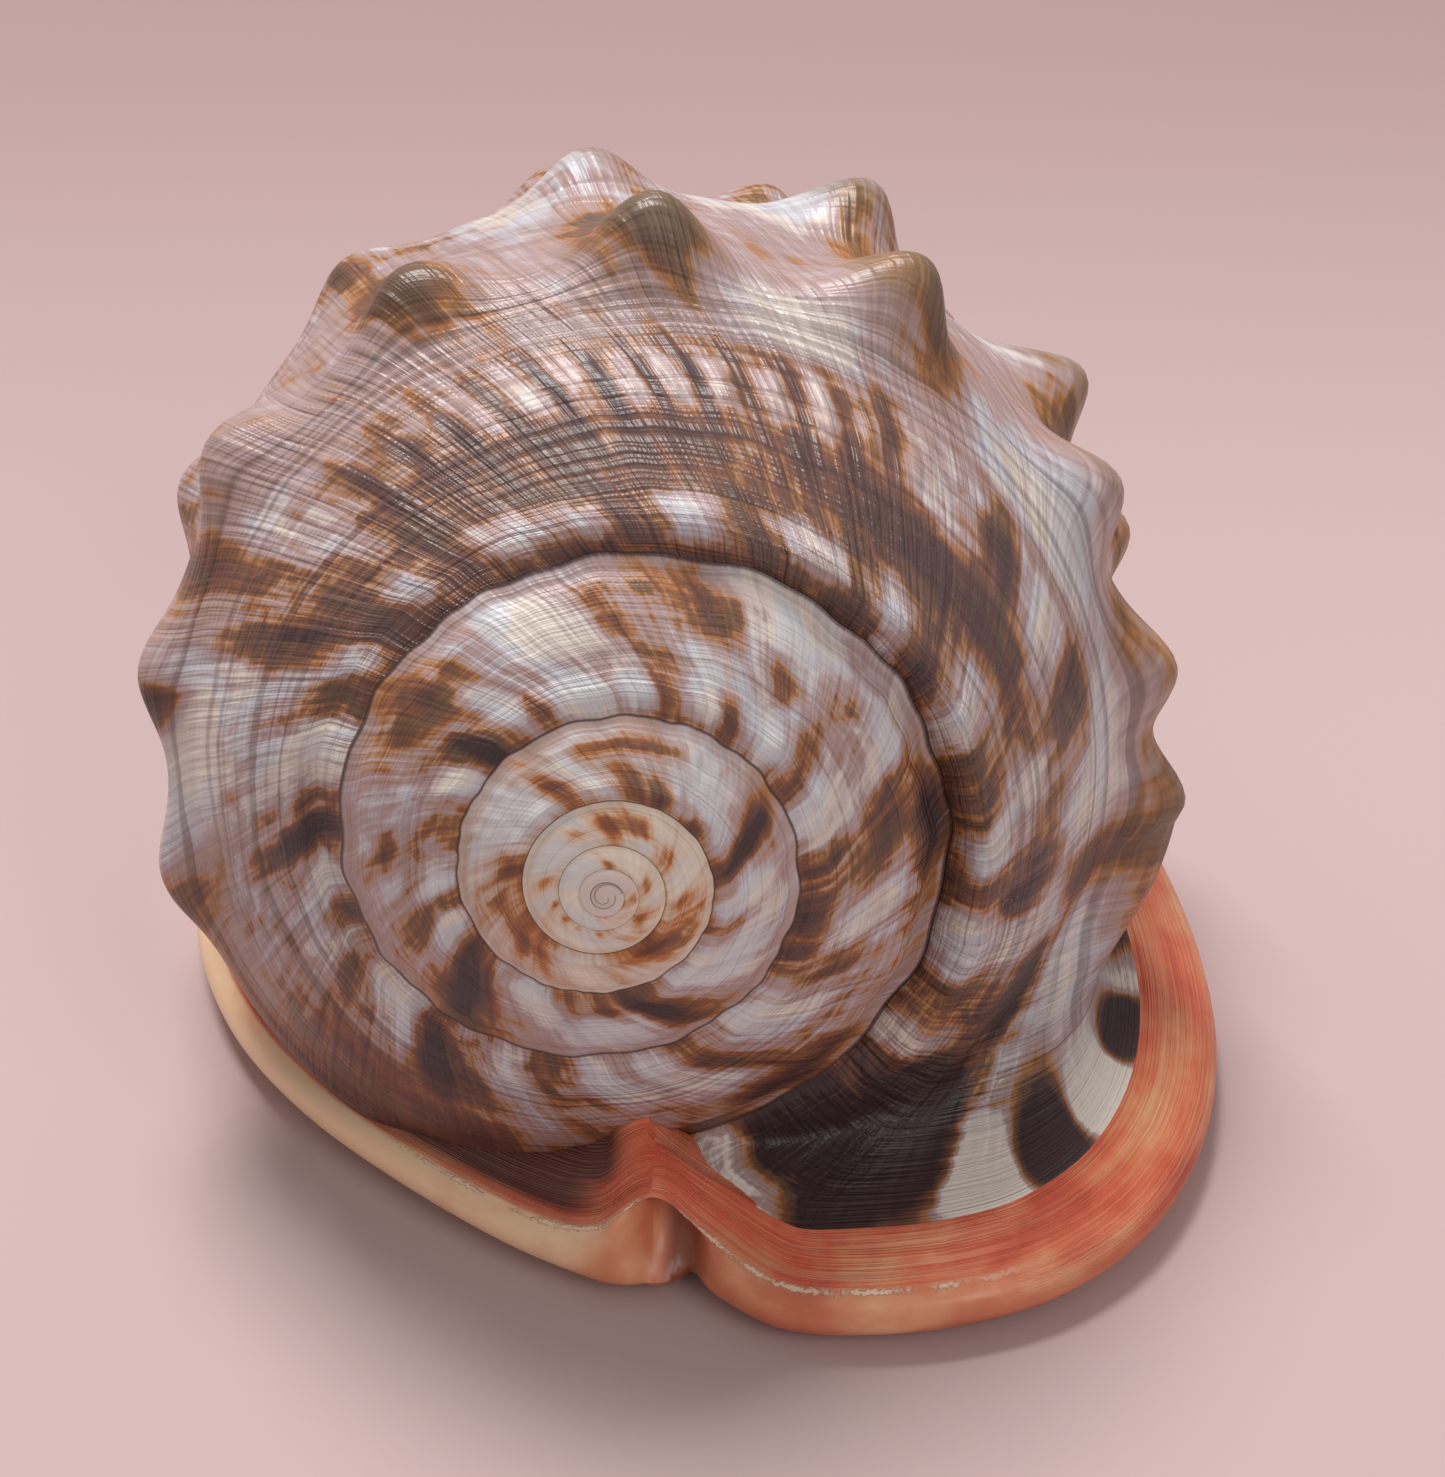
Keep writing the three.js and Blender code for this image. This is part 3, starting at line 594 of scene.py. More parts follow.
# Marks on the back: turn, row, half width and half length in rows. Turn and width are in thousandths of a turn
BROWN_MARKS = in_turns([
    (55, 1, 20, 1.6), (85, 1.4, 16, 1.8), (130, 1.2, 18, 1.1), (130, 3.4, 16, 1.2), (182, 1, 10, 1.3),
    (190, 2.6, 20, 0.8), (192, 0.3, 12, 0.6), (236, 0.9, 18, 1.3), (243, 2.5, 16, 0.5), (295, 0.6, 14, 1),
    (280, 2.6, 20, 0.5), (330, 2.6, 24, 0.4), (345, 0.4, 20, 0.5), (390, 1.1, 9, 1), (400, 0.2, 50, 0.35),
    (452, 1.1, 11, 1), (480, 0.2, 50, 0.35), (538, 1.1, 11, 1.1), (560, 0.2, 40, 0.35), (585, 1.1, 12, 1.1),
    (630, 1.2, 12, 2), (637, 3.2, 13, 1.8), (640, 5.6, 10, 2.6), (692, 1.3, 7, 1.1), (712, 1.2, 12, 1.8),
    (760, 0.8, 11, 1.2), (800, 2.1, 14, 1.2), (868, 1.8, 16, 1.9), (930, 1.5, 14, 1.6), (850, 4.2, 30, 1.2),
    (700, 6.2, 12, 1.3), (457, 6.4, 12, 1.3), (533, 6.4, 12, 1.3), (363, 6.3, 12, 1.3), (280, 7.2, 8, 1.6),
    (170, 6.4, 20, 0.7), (60, 6.9, 60, 0.35), (80, 7.6, 50, 0.3), (190, 8, 14, 0.6), (780, 6.2, 10, 1.6),
    (1037, 1.8, 12, 2.2), (1070, 4, 30, 0.9), (1140, 0.6, 12, 0.9), (1125, 2.2, 14, 1), (1170, 0.4, 20, 1),
    (1215, 1, 12, 1.2), (1230, 3, 40, 1), (1210, 4.3, 30, 0.8), (1290, 1.2, 13, 1.6), (1335, 3, 18, 0.5),
    (1360, 0.9, 12, 1.2), (1415, 0.9, 14, 1.1), (1410, 3.9, 22, 1.1), (1460, 3.3, 10, 0.6), (1520, 1.1, 11, 1),
    (1575, 1, 20, 1.6), (1590, 3.6, 26, 1.2), (1670, 1.4, 10, 1.3), (1700, 3.2, 12, 0.5), (1750, 1.6, 10, 1.4),
    (1830, 2.5, 35, 2.8), (1920, 0.9, 14, 1), (1970, 1.6, 12, 1.2), (2020, 2, 25, 2.6), (2150, 1.2, 10, 1.6),
    (2250, 2.2, 22, 2.8), (2310, 0.5, 16, 0.7), (2385, 1.1, 14, 1.1), (2430, 1.8, 18, 1.5), (2530, 2, 18, 2),
    (2450, 3.6, 50, 0.4), (2670, 1, 20, 1.3), (2800, 1.8, 60, 2.2), (3080, 1.8, 70, 2.4), (3190, 2, 18, 1.4),
    (3300, 2, 24, 1.3), (3380, 2.8, 20, 1.6), (3450, 2.6, 20, 1.6), (3530, 2.8, 16, 1.4), (3680, 2.4, 22, 1.8),
    (3750, 1.2, 14, 0.9), (3810, 1.3, 14, 0.9), (3870, 1.2, 14, 0.9), (3950, 1.3, 16, 1), (4100, 1.5, 30, 1.2),
    (4250, 2.2, 30, 1.2), (4450, 1.8, 30, 1.4),
])
WHITE_MARKS = in_turns([
    (107, 1.4, 8, 2), (157, 0.8, 12, 1.2), (160, 2.9, 16, 1.2), (205, 1.5, 8, 1.4), (215, 2.5, 16, 0.5),
    (205, 4.2, 22, 0.9), (130, 4.9, 20, 0.6), (265, 1, 8, 1.5), (320, 1, 7, 1.5), (275, 3.7, 15, 0.6),
    (328, 3.7, 18, 0.8), (295, 4.9, 24, 0.8), (366, 1.4, 15, 0.8), (422, 1.3, 18, 0.8), (472, 1.3, 12, 0.8),
    (512, 1.3, 12, 0.8), (560, 1.4, 13, 0.8), (610, 1.4, 11, 0.8), (660, 1.1, 18, 2.2), (675, 4.4, 16, 2.6),
    (737, 1, 12, 1.3), (780, 1.6, 11, 1.2), (820, 0.9, 20, 1.4), (905, 1, 16, 1.4), (965, 1.2, 12, 1.4),
    (20, 4.02, 32, 0.3), (30, 5.28, 34, 0.28), (170, 7.2, 20, 0.6), (400, 5, 20, 0.7), (590, 3.6, 14, 1.2),
    (490, 7.8, 20, 0.8), (410, 8.1, 20, 0.8), (720, 5.4, 20, 1.8), (60, 8.6, 60, 0.5), (300, 8, 14, 0.7),
    (1010, 1.8, 14, 1.8), (1080, 1.2, 20, 1.8), (1180, 2.9, 20, 1.2), (1250, 1, 22, 1.6), (1265, 3.2, 12, 1.6),
    (1330, 1.2, 18, 1), (1385, 1.8, 12, 1.8), (1360, 4.2, 30, 1.2), (1437, 1.1, 12, 0.9), (1485, 1, 24, 1.3),
    (1500, 3.4, 30, 1.3), (1545, 1.9, 13, 1.2), (1610, 0.9, 14, 1), (1720, 1, 12, 1.1), (1770, 1.3, 22, 1.3),
    (1890, 1.4, 24, 1.6), (1960, 3.2, 30, 1.2), (2090, 2, 40, 2.2), (2190, 2, 25, 1.8), (2330, 2.8, 40, 1.6),
    (2490, 1.8, 18, 2), (2600, 2.6, 40, 2), (2920, 2.4, 30, 1.6), (3250, 2.6, 30, 2), (3360, 1.2, 20, 0.8),
    (3600, 2.6, 50, 2), (3900, 3.2, 60, 1.2), (4350, 2.2, 50, 1.6), (4700, 2.4, 200, 2.6),
])
DARK_MARKS = in_turns([
    (45, 1.2, 12, 1.2), (85, 2.6, 30, 0.9), (70, 3.3, 50, 0.45), (30, 2.8, 28, 0.55), (120, 3.7, 22, 0.3),
    (30, 4.68, 40, 0.3), (25, 5.78, 30, 0.22), (170, 4.5, 8, 0.9), (240, 3.8, 11, 0.6), (300, 3.6, 10, 0.4),
    (175, 2.4, 7, 0.7), (160, 6.7, 18, 0.3), (190, 8.1, 8, 0.4), (712, 1.5, 7, 1.4), (868, 2.4, 8, 1.4),
    (940, 5.4, 60, 0.7), (880, 5.8, 50, 0.5), (990, 4.9, 30, 0.8), (900, 4.2, 20, 0.6), (700, 6, 7, 0.9),
    (1050, 4.3, 12, 0.8), (1575, 0.9, 8, 1.1), (1220, 4.4, 20, 0.6), (1830, 2.8, 14, 2.2), (2020, 2.4, 12, 2),
    (2250, 2.4, 10, 2.2), (3060, 1.6, 20, 1.2),
])
# Slanted dark lines between the small pads above the knobs
PAD_LINES = [turn + 0.0095 for turn, _ in PADS]
BROWN_MARKS += [(turn, 3.6, 0.0034, 0.95) for turn in PAD_LINES]
DARK_MARKS += [(turn, 3.7, 0.0016, 0.4) for turn in PAD_LINES[4:8]]
WHITE_MARKS += [(turn, 3.7, 0.0065, 0.5) for turn, _ in PADS[2:10]]


def lean(turn, place):
    return np.interp(place, ROW_NUMBERS, LEAN) * smooth(0.12, 0.35, turn)


def marked(marks, turn, place):
    """How far each point is inside a list of marks: a half at their edges."""
    along = turn - lean(turn, place)
    field = np.zeros_like(turn)
    for at, row, wide, long in marks:
        near = np.abs(place - row) < 3 * long
        u = (along[near] - (at - lean(at, row))) / wide
        v = (place[near] - row) / (MARK_LENGTH * long)
        field[near] = np.maximum(field[near], np.exp(-0.69 * (u * u + v * v) ** 1.15))
    return field


def lay_marks(piece):
    """Keeps, for each corner of each face, the marks there and the distances along and across the whorl."""
    mesh = piece.data
    turn, place = read_uv(mesh, "coil").astype(float).T
    radius = KNOB_RADIUS * np.exp(-0.5 * np.maximum(turn, 0))
    knob = np.where(turn < 1, knob_height(place, turn, radius), 0) / KNOB_FULL
    colors = np.stack([marked(BROWN_MARKS, turn, place), marked(WHITE_MARKS, turn, place),
                       marked(DARK_MARKS, turn, place), knob], -1)
    colors[turn < 0] = 0
    layer = mesh.color_attributes.new("marks", "FLOAT_COLOR", "CORNER")
    layer.data.foreach_set("color", colors.astype(np.float32).reshape(-1))
    grown = turn - lean(turn, place)
    along = 2 * math.pi * LINE_RADIUS * (1 - np.exp(-SUTURE_SHRINK * np.maximum(grown, -0.2))) / SUTURE_SHRINK
    across = np.interp(place, ROW_NUMBERS, np.concatenate([[0], np.cumsum(ROW_STEPS)]) * STEP_WIDTH)
    across *= np.exp(-SUTURE_SHRINK * np.maximum(turn, 0))
    flow = mesh.uv_layers.new(name="growth")
    flow.data.foreach_set("uv", np.stack([along, across], -1).astype(np.float32).reshape(-1))


lay_marks(shell)


# Materials
def tone(red, green, blue):
    """Linear colour of a shade given as it looks on a screen, 0 to 255."""
    return tuple(((c / 255 + 0.055) / 1.055) ** 2.4 if c > 10 else c / 3294 for c in (red, green, blue)) + (1.0,)


class Pen:
    """Puts nodes into one material or group, from left to right."""

    def __init__(self, tree):
        self.tree = tree
        self.place = 0

    def node(self, kind, inputs=(), **settings):
        made = self.tree.nodes.new("ShaderNode" + kind)
        made.location = (self.place % 4000, -(self.place // 4000) * 300)
        self.place += 180
        for name, value in settings.items():
            setattr(made, name, value)
        for key, value in dict(inputs).items():
            if isinstance(value, bpy.types.NodeSocket):
                self.tree.links.new(value, made.inputs[key])
            else:
                made.inputs[key].default_value = value
        return made

    def math(self, operation, first, second, clamp=False):
        return self.node("Math", {0: first, 1: second}, operation=operation, use_clamp=clamp).outputs[0]

    def times(self, total, *others):
        for value in others:
            total = self.math("MULTIPLY", total, value)
        return total

    def larger(self, first, second):
        return self.math("MAXIMUM", first, second)

    def rest(self, share):
        return self.math("SUBTRACT", 1, share)

    def where(self):
        return self.node("TexCoord").outputs["Object"]

    def uv(self, name):
        split = self.node("SeparateXYZ", {0: self.node("UVMap", uv_map=name).outputs[0]})
        return split.outputs[0], split.outputs[1]

    def spot(self, x, y, z=0):
        return self.node("CombineXYZ", {0: x, 1: y, 2: z}).outputs[0]

    def stretched(self, along, across, per_along, per_across, seed):
        return self.spot(self.times(along, per_along), self.times(across, per_across), seed)

    def noise(self, vector, scale=1, detail=2, rough=0.5, warp=0):
        return self.node("TexNoise", {"Vector": vector, "Scale": scale, "Detail": detail,
                                      "Roughness": rough, "Distortion": warp}).outputs[0]

    def step(self, value, low, high, to_low=0, to_high=1):
        return self.node("MapRange", {"Value": value, "From Min": low, "From Max": high, "To Min": to_low,
                                      "To Max": to_high}, interpolation_type="SMOOTHSTEP").outputs[0]

    def fall(self, value, low, high):
        return self.step(value, low, high, 1, 0)

    def blend(self, share, first, second):
        return self.node("Mix", {0: share, 6: first, 7: second}, data_type="RGBA").outputs[2]

    def tint(self, color, mask, share, shade):
        return self.blend(self.times(mask, share), color, tone(*shade))

    def ramp(self, value, shades):
        made = self.node("ValToRGB", {0: value})
        stops = made.color_ramp.elements
        for _ in shades[2:]:
            stops.new(0.5)
        for stop, (at, shade) in zip(stops, shades):
            stop.position = at
            stop.color = tone(*shade)
        return made.outputs[0]

    def add(self, total, *others):
        for value in others:
            total = self.math("ADD", total, value)
        return total

    def swing(self, value, amount):
        """A noise value turned into a swing about zero."""
        return self.times(self.math("SUBTRACT", value, 0.5), amount)

    def ridge(self, value, low, high, width):
        """One between two values, falling to zero over a width on both sides."""
        return self.times(self.step(value, low - width, low), self.fall(value, high, high + width))


def new_material(name):
    material = bpy.data.materials.new(name)
    material.use_nodes = True
    return material, Pen(material.node_tree), material.node_tree.nodes["Principled BSDF"]


def finish_material(pen, shader, color, roughness, swing, height, distance):
    """Ends a material. The swing is how far the roughness wanders, the distance how deep the relief is."""
    gloss = pen.node("Group", {"Roughness": roughness, "Swing": swing}, node_tree=worn_gloss)
    bump = pen.node("Bump", {"Height": height, "Distance": distance, "Strength": 1})
    pen.tree.links.new(color, shader.inputs["Base Color"])
    pen.tree.links.new(gloss.outputs[0], shader.inputs["Roughness"])
    pen.tree.links.new(bump.outputs[0], shader.inputs["Normal"])


def make_group(name, inputs, outputs):
    group = bpy.data.node_groups.new(name, "ShaderNodeTree")
    for label, value in inputs:
        socket = group.interface.new_socket(label, in_out="INPUT", socket_type="NodeSocketFloat")
        socket.default_value = value
    for label in outputs:
        group.interface.new_socket(label, in_out="OUTPUT", socket_type="NodeSocketFloat")
    pen = Pen(group)
    return group, pen, group.nodes.new("NodeGroupInput"), group.nodes.new("NodeGroupOutput")


def build_layered_lines():
    """Fine growth lines at a spacing along, drawn out across, with some lines much stronger."""
    group, pen, given, result = make_group(
        "layered_lines", [("Along", 0), ("Across", 0), ("Spacing", 1), ("Length", 12)], ["Lines", "Strong"])
    across = pen.math("DIVIDE", given.outputs["Across"], given.outputs["Length"])
    along, spacing = given.outputs["Along"], given.outputs["Spacing"]
    fine = pen.noise(pen.spot(pen.math("DIVIDE", along, spacing), across, 3), detail=1.5)
    wide_apart = pen.math("DIVIDE", along, pen.times(spacing, 5))
    broad = pen.noise(pen.spot(wide_apart, pen.times(across, 0.5), 9))
    pen.tree.links.new(pen.step(fine, 0.3, 0.7), result.inputs["Lines"])
    pen.tree.links.new(pen.step(broad, 0.52, 0.66), result.inputs["Strong"])
    return group


def build_worn_gloss():
    """Roughness that wanders a little over the surface, with small dull scuffs."""
    group, pen, given, result = make_group("worn_gloss", [("Roughness", 0.35), ("Swing", 0.12)], ["Roughness"])
    where = pen.where()
    cloud = pen.noise(where, scale=90, detail=4)
    scuff = pen.step(pen.noise(where, scale=520, detail=3, warp=1.5), 0.62, 0.72)
    swing = given.outputs["Swing"]
    total = pen.add(given.outputs["Roughness"], pen.times(pen.swing(cloud, 2), swing), pen.times(scuff, swing))
    pen.tree.links.new(total, result.inputs["Roughness"])
    return group


layered_lines = build_layered_lines()
worn_gloss = build_worn_gloss()

# From unmarked to darkest: how much pigment, and the shade it has there
NEW_SHADES = [(0, (226, 218, 210)), (0.16, (204, 192, 190)), (0.33, (182, 156, 156)), (0.46, (176, 142, 130)),
              (0.51, (176, 116, 68)), (0.56, (140, 88, 58)), (0.72, (106, 68, 56)), (0.95, (64, 46, 46))]
OLD_SHADES = [(0, (242, 228, 208)), (0.34, (222, 198, 178)), (0.47, (210, 166, 134)), (0.53, (202, 128, 70)),
              (0.66, (158, 88, 50)), (0.9, (110, 64, 46))]

# The end of the lip at the canal, in metres
CANAL = tuple((outline_point(17.2) + [0, 0, 4]) / 1000)


def paint_back():
    material, pen, shader = new_material("marked_back")
    turn, place = pen.uv("coil")
    along, across = pen.uv("growth")
    attribute = pen.node("Attribute", attribute_name="marks")
    marks = pen.node("SeparateColor", {0: attribute.outputs["Color"]})
    knob = attribute.outputs["Alpha"]
    cloud = pen.noise(pen.stretched(along, across, 0.27, 0.24, 1), detail=4, rough=0.6, warp=0.6)
    second_cloud = pen.noise(pen.stretched(along, across, 0.2, 0.13, 7), rough=0.6, warp=0.6)
    streak = pen.noise(pen.stretched(along, across, 0.62, 0.06, 2), rough=0.6)
    thread = pen.noise(pen.stretched(along, across, 2.2, 0.1, 4), detail=1)
    # Spiral lines follow the rows: wavier on the last whorl than on the spire
    last = pen.fall(turn, 0.85, 1.15)
    flare = pen.step(turn, 0.03, 0.13)
    wave = pen.swing(pen.noise(pen.stretched(along, across, 0.11, 0.05, 11)), 0.35)
    level = pen.add(place, wave)
    spiral = pen.noise(pen.stretched(level, along, 6.6, 0.015, 5))
    fine_spiral = pen.noise(pen.stretched(level, along, 15, 0.05, 8), detail=1)
    grown = pen.node("Group", {"Along": along, "Across": across, "Spacing": 0.5, "Length": 14},
                     node_tree=layered_lines)
    fading = pen.times(flare, pen.add(pen.times(last, 0.6), 0.4))
    side = pen.step(place, 7, 9.5)
    belt = pen.times(pen.ridge(place, 2.1, 3.1, 0.3), pen.ridge(turn, 0.31, 0.6, 0.06))
    crown = pen.times(pen.ridge(place, 0.6, 4.3, 0.3), pen.ridge(turn, 0.3, 0.58, 0.05))
    by_shield = pen.times(pen.ridge(turn, 0.84, 1, 0.1), pen.ridge(place, 3.6, 8, 1.2))
    # Painted shade: a thin dark line on both sides of the suture crease, also wound over the flat nucleus
    seam = pen.larger(pen.fall(place, 0.02, 0.11),
                      pen.times(pen.step(place, 4.92, 4.98), pen.step(turn, 0.98, 1)))
    wound = pen.add(place, pen.times(pen.math("SUBTRACT", turn, 6.25), -0.7))
    first_suture_shade = pen.times(pen.ridge(wound, -0.02, 0.02, 0.08), pen.step(turn, 6.2, 6.25))
    seam = pen.larger(seam, pen.times(first_suture_shade, 0.6))
    # Painted shade: the back is darker beside the suture crease
    beside = pen.rest(pen.step(place, 0.1, 0.9))
    # The clouds are calm behind the lip, where the marks stand clear, and over the pale shoulder
    shoulder = pen.ridge(place, 4.6, 7.2, 0.5)
    calm = pen.rest(pen.add(pen.times(pen.rest(flare), 0.65), pen.times(shoulder, 0.5)))
    clear = pen.add(1, pen.times(pen.rest(flare), 0.5))
    clouds = pen.add(pen.swing(cloud, 0.85), pen.swing(second_cloud, 0.35), pen.swing(streak, 0.6),
                     pen.swing(thread, 0.2), pen.swing(spiral, 0.18), pen.swing(fine_spiral, 0.16))
    white = pen.times(marks.outputs[1], pen.rest(pen.times(crown, 0.25)))
    marked = pen.add(pen.times(marks.outputs[0], 0.34), pen.times(white, -0.36),
                     pen.times(marks.outputs[2], pen.step(turn, 0.95, 1.05, 0.58, 0.4)))
    pigment = pen.add(
        pen.times(marked, clear), pen.times(clouds, calm), pen.times(knob, 0.1),
        pen.times(pen.step(turn, 2.6, 3.4), -0.08),
        pen.times(side, 0.04), pen.times(belt, 0.15), pen.times(by_shield, 0.05),
        pen.times(crown, 0.12), pen.times(beside, 0.1), 0.38)
    steep = pen.add(1, pen.times(pen.rest(flare), 1.3))
    pigment = pen.add(0.46, pen.times(pen.math("SUBTRACT", pigment, 0.46), steep))
    new = pen.ramp(pigment, NEW_SHADES)
    # The old whorls are creamier, with ochre towards the tip
    color = pen.blend(pen.step(turn, 2, 3.4), new, pen.ramp(pigment, OLD_SHADES))
    # Pale parts are cream or bluish, brown parts are reddish or olive
    pale = pen.fall(pigment, 0.2, 0.36)
    hue = pen.blend(pen.step(second_cloud, 0.42, 0.58), tone(196, 198, 210), tone(226, 208, 190))
    color = pen.blend(pen.times(pale, 0.5), color, hue)
    padded = pen.times(pen.ridge(place, 3.2, 4.2, 0.3), pen.ridge(turn, 0.34, 0.56, 0.03))
    cream = pen.larger(pen.times(padded, 0.6), pen.rest(flare))
    color = pen.blend(pen.times(pen.times(pale, cream), 0.8), color,
                      pen.blend(flare, tone(240, 228, 214), tone(216, 184, 164)))
    patchy = pen.step(pen.add(second_cloud, pen.times(knob, 0.4)), 0.5, 0.66)
    deep = pen.times(pen.ridge(pigment, 0.56, 0.8, 0.08), patchy)
    color = pen.tint(color, deep, 0.5, (104, 84, 60))
    worn = pen.step(pen.add(knob, pen.swing(streak, 0.8)), 0.45, 0.85)
    color = pen.tint(color, worn, 0.6, (136, 112, 90))
    color = pen.tint(color, by_shield, 0.3, (140, 80, 68))
    color = pen.tint(color, pen.times(crown, pen.step(pigment, 0.4, 0.55)), 0.35, (118, 92, 88))
    ochre = pen.times(pen.ridge(pigment, 0.48, 0.56, 0.05), pen.step(turn, 0.25, 0.5, 1, 0.3))
    color = pen.tint(color, ochre, 0.3, (182, 126, 72))
    # Fine dark lines along the whorl, strongest beside the cord and over the knobs
    lined = pen.add(pen.ridge(place, 2, 3.1, 0.3), pen.times(pen.ridge(place, 4.3, 5.4, 0.4), 0.8), 0.3)
    lined = pen.times(lined, pen.add(pen.times(last, 0.7), 0.3))
    lines = pen.math("MULTIPLY", pen.step(spiral, 0.47, 0.64), pen.times(lined, flare), clamp=True)
    color = pen.tint(color, lines, 0.42, (84, 62, 62))
    shade = pen.node("MapRange", {
        "Value": pen.add(pen.times(grown.outputs["Lines"], pen.times(fading, 0.9)),
                         pen.swing(thread, 0.6), pen.swing(fine_spiral, 0.7)),
        "To Min": 1.09, "To Max": 0.85}).outputs[0]
    color = pen.node("VectorMath", {0: color, 1: pen.spot(shade, shade, shade)},
                     operation="MULTIPLY").outputs[0]
    # The colour of the lip runs over the canal
    where = pen.where()
    off_canal = pen.node("VectorMath", {0: where, 1: CANAL}, operation="DISTANCE").outputs["Value"]
    off_canal = pen.add(off_canal, pen.swing(cloud, 0.012))
    height_up = pen.node("SeparateXYZ", {0: where}).outputs[2]
    over_canal = pen.larger(pen.fall(off_canal, 0.017, 0.025),
                            pen.times(pen.fall(off_canal, 0.03, 0.042),
                                      pen.fall(height_up, 0.012, 0.018)))
    color = pen.blend(over_canal, color, tone(214, 104, 72))
    # Painted shade: a thin dark line in the suture crease; and the glassy first whorl
    color = pen.tint(color, pen.step(turn, 5.2, 5.3), 0.85, (222, 204, 196))
    color = pen.tint(color, seam, 0.8, (58, 34, 30))
    height = pen.add(pen.times(spiral, 0.7), pen.times(grown.outputs["Lines"], 0.2),
                     pen.times(grown.outputs["Strong"], 0.25), pen.times(streak, 0.4),
                     pen.times(fine_spiral, 0.2))
    # The whorls get smaller towards the tip, and so does their relief
    scale = pen.math("POWER", 0.52, pen.larger(pen.math("SUBTRACT", turn, 0.6), 0))
    height = pen.times(height, scale)
    puckered = pen.times(pen.ridge(place, 0.4, 3, 0.6), pen.ridge(turn, 0.06, 0.36, 0.08))
    height = pen.add(pen.times(height, pen.add(pen.times(flare, 0.6), 0.4)),
                     pen.times(puckered, pen.times(pen.add(streak, cloud), 0.9)))
    finish_material(pen, shader, color, 0.38, 0.12, height, 0.0007)
    return material


# The same for the rim's band and for its face, by a mix of noises
BAND_SHADES = [(0.22, (188, 66, 48)), (0.44, (228, 106, 76)), (0.58, (236, 138, 96)), (0.78, (244, 182, 136))]
FACE_SHADES = [(0.3, (196, 96, 68)), (0.5, (214, 128, 92)), (0.62, (228, 158, 118)), (0.85, (246, 206, 166))]


def paint_rim():
    material, pen, shader = new_material("lip_and_shield")
    around, section = pen.uv("rim")
    where = pen.where()
    cloud = pen.noise(where, scale=60, detail=4)
    patch = pen.noise(pen.stretched(around, section, 1.1, 0.5, 2), detail=3)
    lines = pen.node("Group", {"Along": pen.add(section, pen.swing(cloud, 0.2)), "Across": around,
                               "Spacing": 0.055, "Length": 2.5}, node_tree=layered_lines)
    laminae = lines.outputs["Lines"]
    band = pen.ramp(pen.add(patch, pen.swing(laminae, 0.14), pen.swing(cloud, 0.3)), BAND_SHADES)
    band = pen.tint(band, lines.outputs["Strong"], 0.3, (236, 182, 144))
    by_notch = pen.larger(pen.fall(around, 0.6, 3), pen.step(around, 28.2, 29.4))
    band = pen.tint(band, by_notch, 0.5, (214, 84, 54))
    shield = pen.ridge(around, 17.6, 28.4, 0.9)
    # The face is paler over the shield: partly its colour, partly painted light
    face = pen.ramp(pen.add(cloud, pen.swing(patch, 0.5), pen.times(shield, 0.42)), FACE_SHADES)
    # Painted shade in the hollow under the notch's arch
    hollow = pen.times(pen.ridge(pen.add(around, pen.swing(cloud, 0.3)), 0.5, 0.75, 0.4),
                       pen.ridge(pen.add(section, pen.swing(cloud, 0.5)), 3.2, 5.2, 0.6))
    face = pen.tint(face, hollow, 0.8, (116, 52, 40))
    # Along the outer side of the lip the band runs right over the edge
    outer = pen.ridge(around, 5.5, 15, 1.5)
    edge = pen.add(section, pen.swing(cloud, 0.3))
    on_band = pen.larger(pen.step(edge, 6, 6.35), pen.times(outer, 0.85, pen.step(edge, 3.2, 4.6)))
    color = pen.blend(on_band, face, band)
    # On the shield the band is narrow, and the dark back comes down to it, but not by the notch; this dark is partly
    # the back's colour and partly painted shade in the crease beside the body
    dark_back_and_crease_shade = pen.times(pen.step(pen.add(edge, pen.swing(laminae, 0.25)), 6.45, 7), shield)
    near_notch = pen.ridge(around, 28.4, 29, 0.7)
    dark_back_and_crease_shade = pen.larger(dark_back_and_crease_shade, pen.times(pen.step(edge, 7.3, 7.9), near_notch))
    color = pen.blend(pen.times(dark_back_and_crease_shade, 0.92), color, pen.blend(cloud, tone(60, 38, 40), tone(112, 72, 62)))
    crackle = pen.noise(where, scale=1500, detail=3, rough=0.7)
    broken = pen.noise(where, scale=260)
    # A broken pale line along the crest by the notch: partly its own colour, partly a painted highlight
    pale_crest_and_highlight = pen.times(pen.ridge(pen.add(section, pen.swing(crackle, 0.5)), 5.98, 6.06, 0.14),
                      pen.step(pen.add(broken, pen.swing(crackle, 0.5)), 0.4, 0.55))
    pale_crest_and_highlight = pen.times(pale_crest_and_highlight, pen.rest(pen.ridge(around, 5, 26, 1.5)))
    color = pen.tint(color, pale_crest_and_highlight, 0.75, (246, 214, 186))
    height = pen.add(pen.times(pen.times(laminae, on_band), 0.3), pen.times(pale_crest_and_highlight, 0.4), pen.times(cloud, 0.5))
    finish_material(pen, shader, color, 0.32, 0.1, height, 0.0005)
    return material


def paint_mouth():
    material, pen, shader = new_material("mouth_lining")
    _, height_over = pen.uv("rim")
    where = pen.where()
    cloud = pen.noise(where, scale=50, detail=4)
    deep = pen.blend(cloud, tone(196, 112, 72), tone(222, 150, 104))
    color = pen.blend(pen.step(height_over, 3, 9), tone(238, 214, 186), deep)
    finish_material(pen, shader, color, 0.28, 0.08, cloud, 0.0003)
    return material


shell.data.materials.clear()
for material in (paint_back(), paint_rim(), paint_mouth()):
    shell.data.materials.append(material)


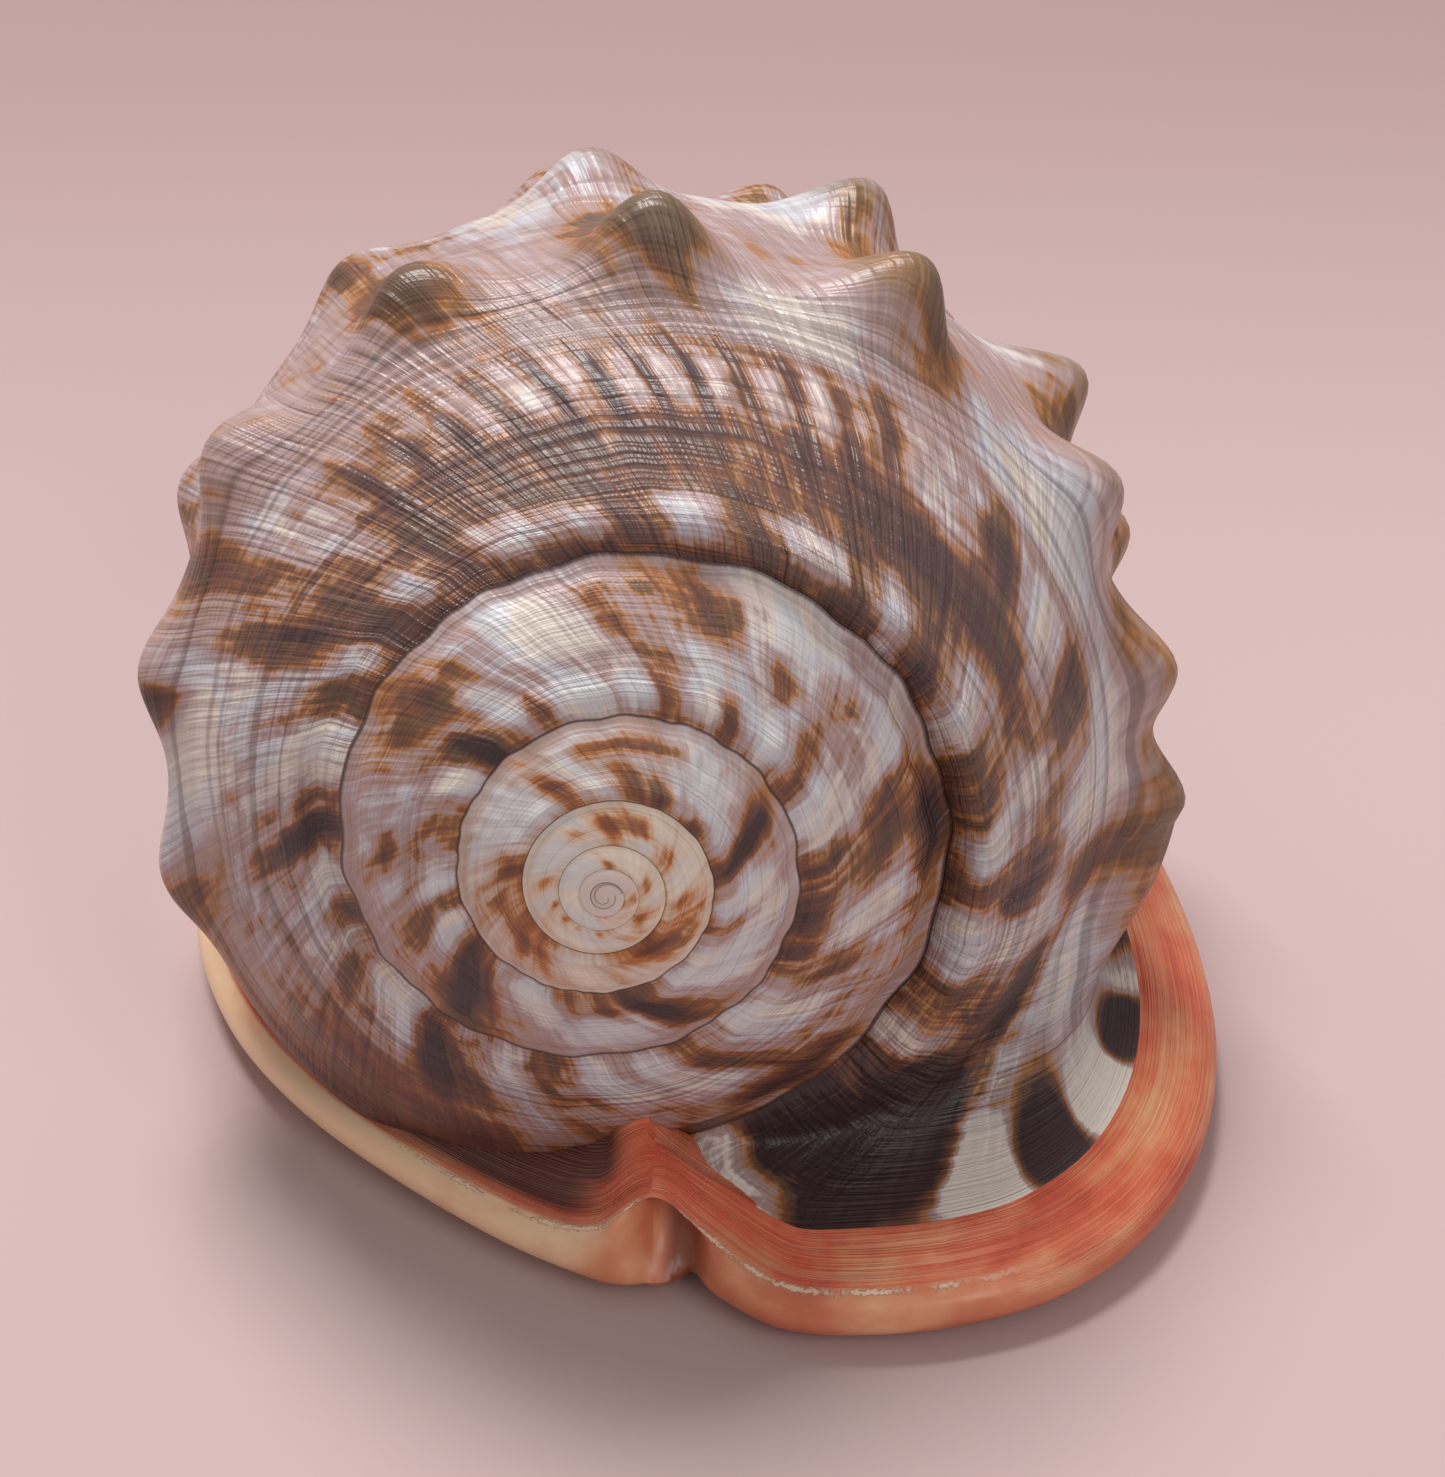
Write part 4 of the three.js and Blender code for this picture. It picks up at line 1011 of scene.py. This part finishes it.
def assign_finishes(piece):
    """The back, the rim and the mouth each have their own turn values, so the faces are told apart by them."""
    mesh = piece.data
    turn = read_uv(mesh, "coil")[:, 0]
    starts = np.empty(len(mesh.polygons), int)
    mesh.polygons.foreach_get("loop_start", starts)
    lowest = np.minimum.reduceat(turn, starts)
    finish = np.where(lowest < (RIM_TURN + MOUTH_TURN) / 2, 2, np.where(lowest < -0.01, 1, 0))
    mesh.polygons.foreach_set("material_index", finish.astype(np.int32))
    mesh.update()


assign_finishes(shell)

# Floor, light and camera
deselect()
bpy.ops.mesh.primitive_plane_add(size=4)
floor = bpy.context.object
floor.name = "floor"
paper_and_shade, pen, shader = new_material("paper_with_painted_shade")
# Painted shade: the paper turns darker further back
far = pen.node("SeparateXYZ", {0: pen.where()}).outputs[1]
color = pen.blend(pen.step(far, 0.0, 0.3), (0.54, 0.40, 0.39, 1), (0.36, 0.232, 0.225, 1))
pen.tree.links.new(color, shader.inputs["Base Color"])
shader.inputs["Roughness"].default_value = 0.9
floor.data.materials.append(paper_and_shade)

world = bpy.data.worlds.new("studio")
bpy.context.scene.world = world
world.use_nodes = True
world.node_tree.nodes["Background"].inputs["Color"].default_value = (1, 0.98, 0.97, 1)
world.node_tree.nodes["Background"].inputs["Strength"].default_value = 0.36


def soft_light(name, place, size, power):
    light = bpy.data.lights.new(name, "AREA")
    light.size = size
    light.energy = power
    lamp = bpy.data.objects.new(name, light)
    bpy.context.collection.objects.link(lamp)
    lamp.location = place
    lamp.rotation_euler = (Vector((0, 0, 0.03)) - Vector(place)).to_track_quat("-Z", "Y").to_euler()


soft_light("window", (-0.25, 0.65, 1.5), 0.6, 27)
soft_light("fill", (0.9, -1.1, 1.2), 0.8, 6)
bpy.context.scene.view_settings.view_transform = "Standard"

# The focal length and the height of the photo are in its pixels
FOCAL_LENGTH, PHOTO_HEIGHT, SENSOR = 3040, 1477, 36
camera_data = bpy.data.cameras.new("camera")
camera = bpy.data.objects.new("camera", camera_data)
bpy.context.collection.objects.link(camera)
camera_data.sensor_width = SENSOR
camera_data.lens = FOCAL_LENGTH / PHOTO_HEIGHT * SENSOR
look, up = Vector((0.0368, 0.7817, -0.6225)), Vector((0.0292, 0.6218, 0.7826))
right = look.cross(up).normalized()
camera.matrix_world = Matrix.Translation(Vector((-0.00995, -0.30917, 0.2724))) @ Matrix(
    (right, up, -look)).transposed().to_4x4()
camera_data.clip_start = 0.01
bpy.context.scene.camera = camera

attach(shell, "root")
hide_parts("shell")
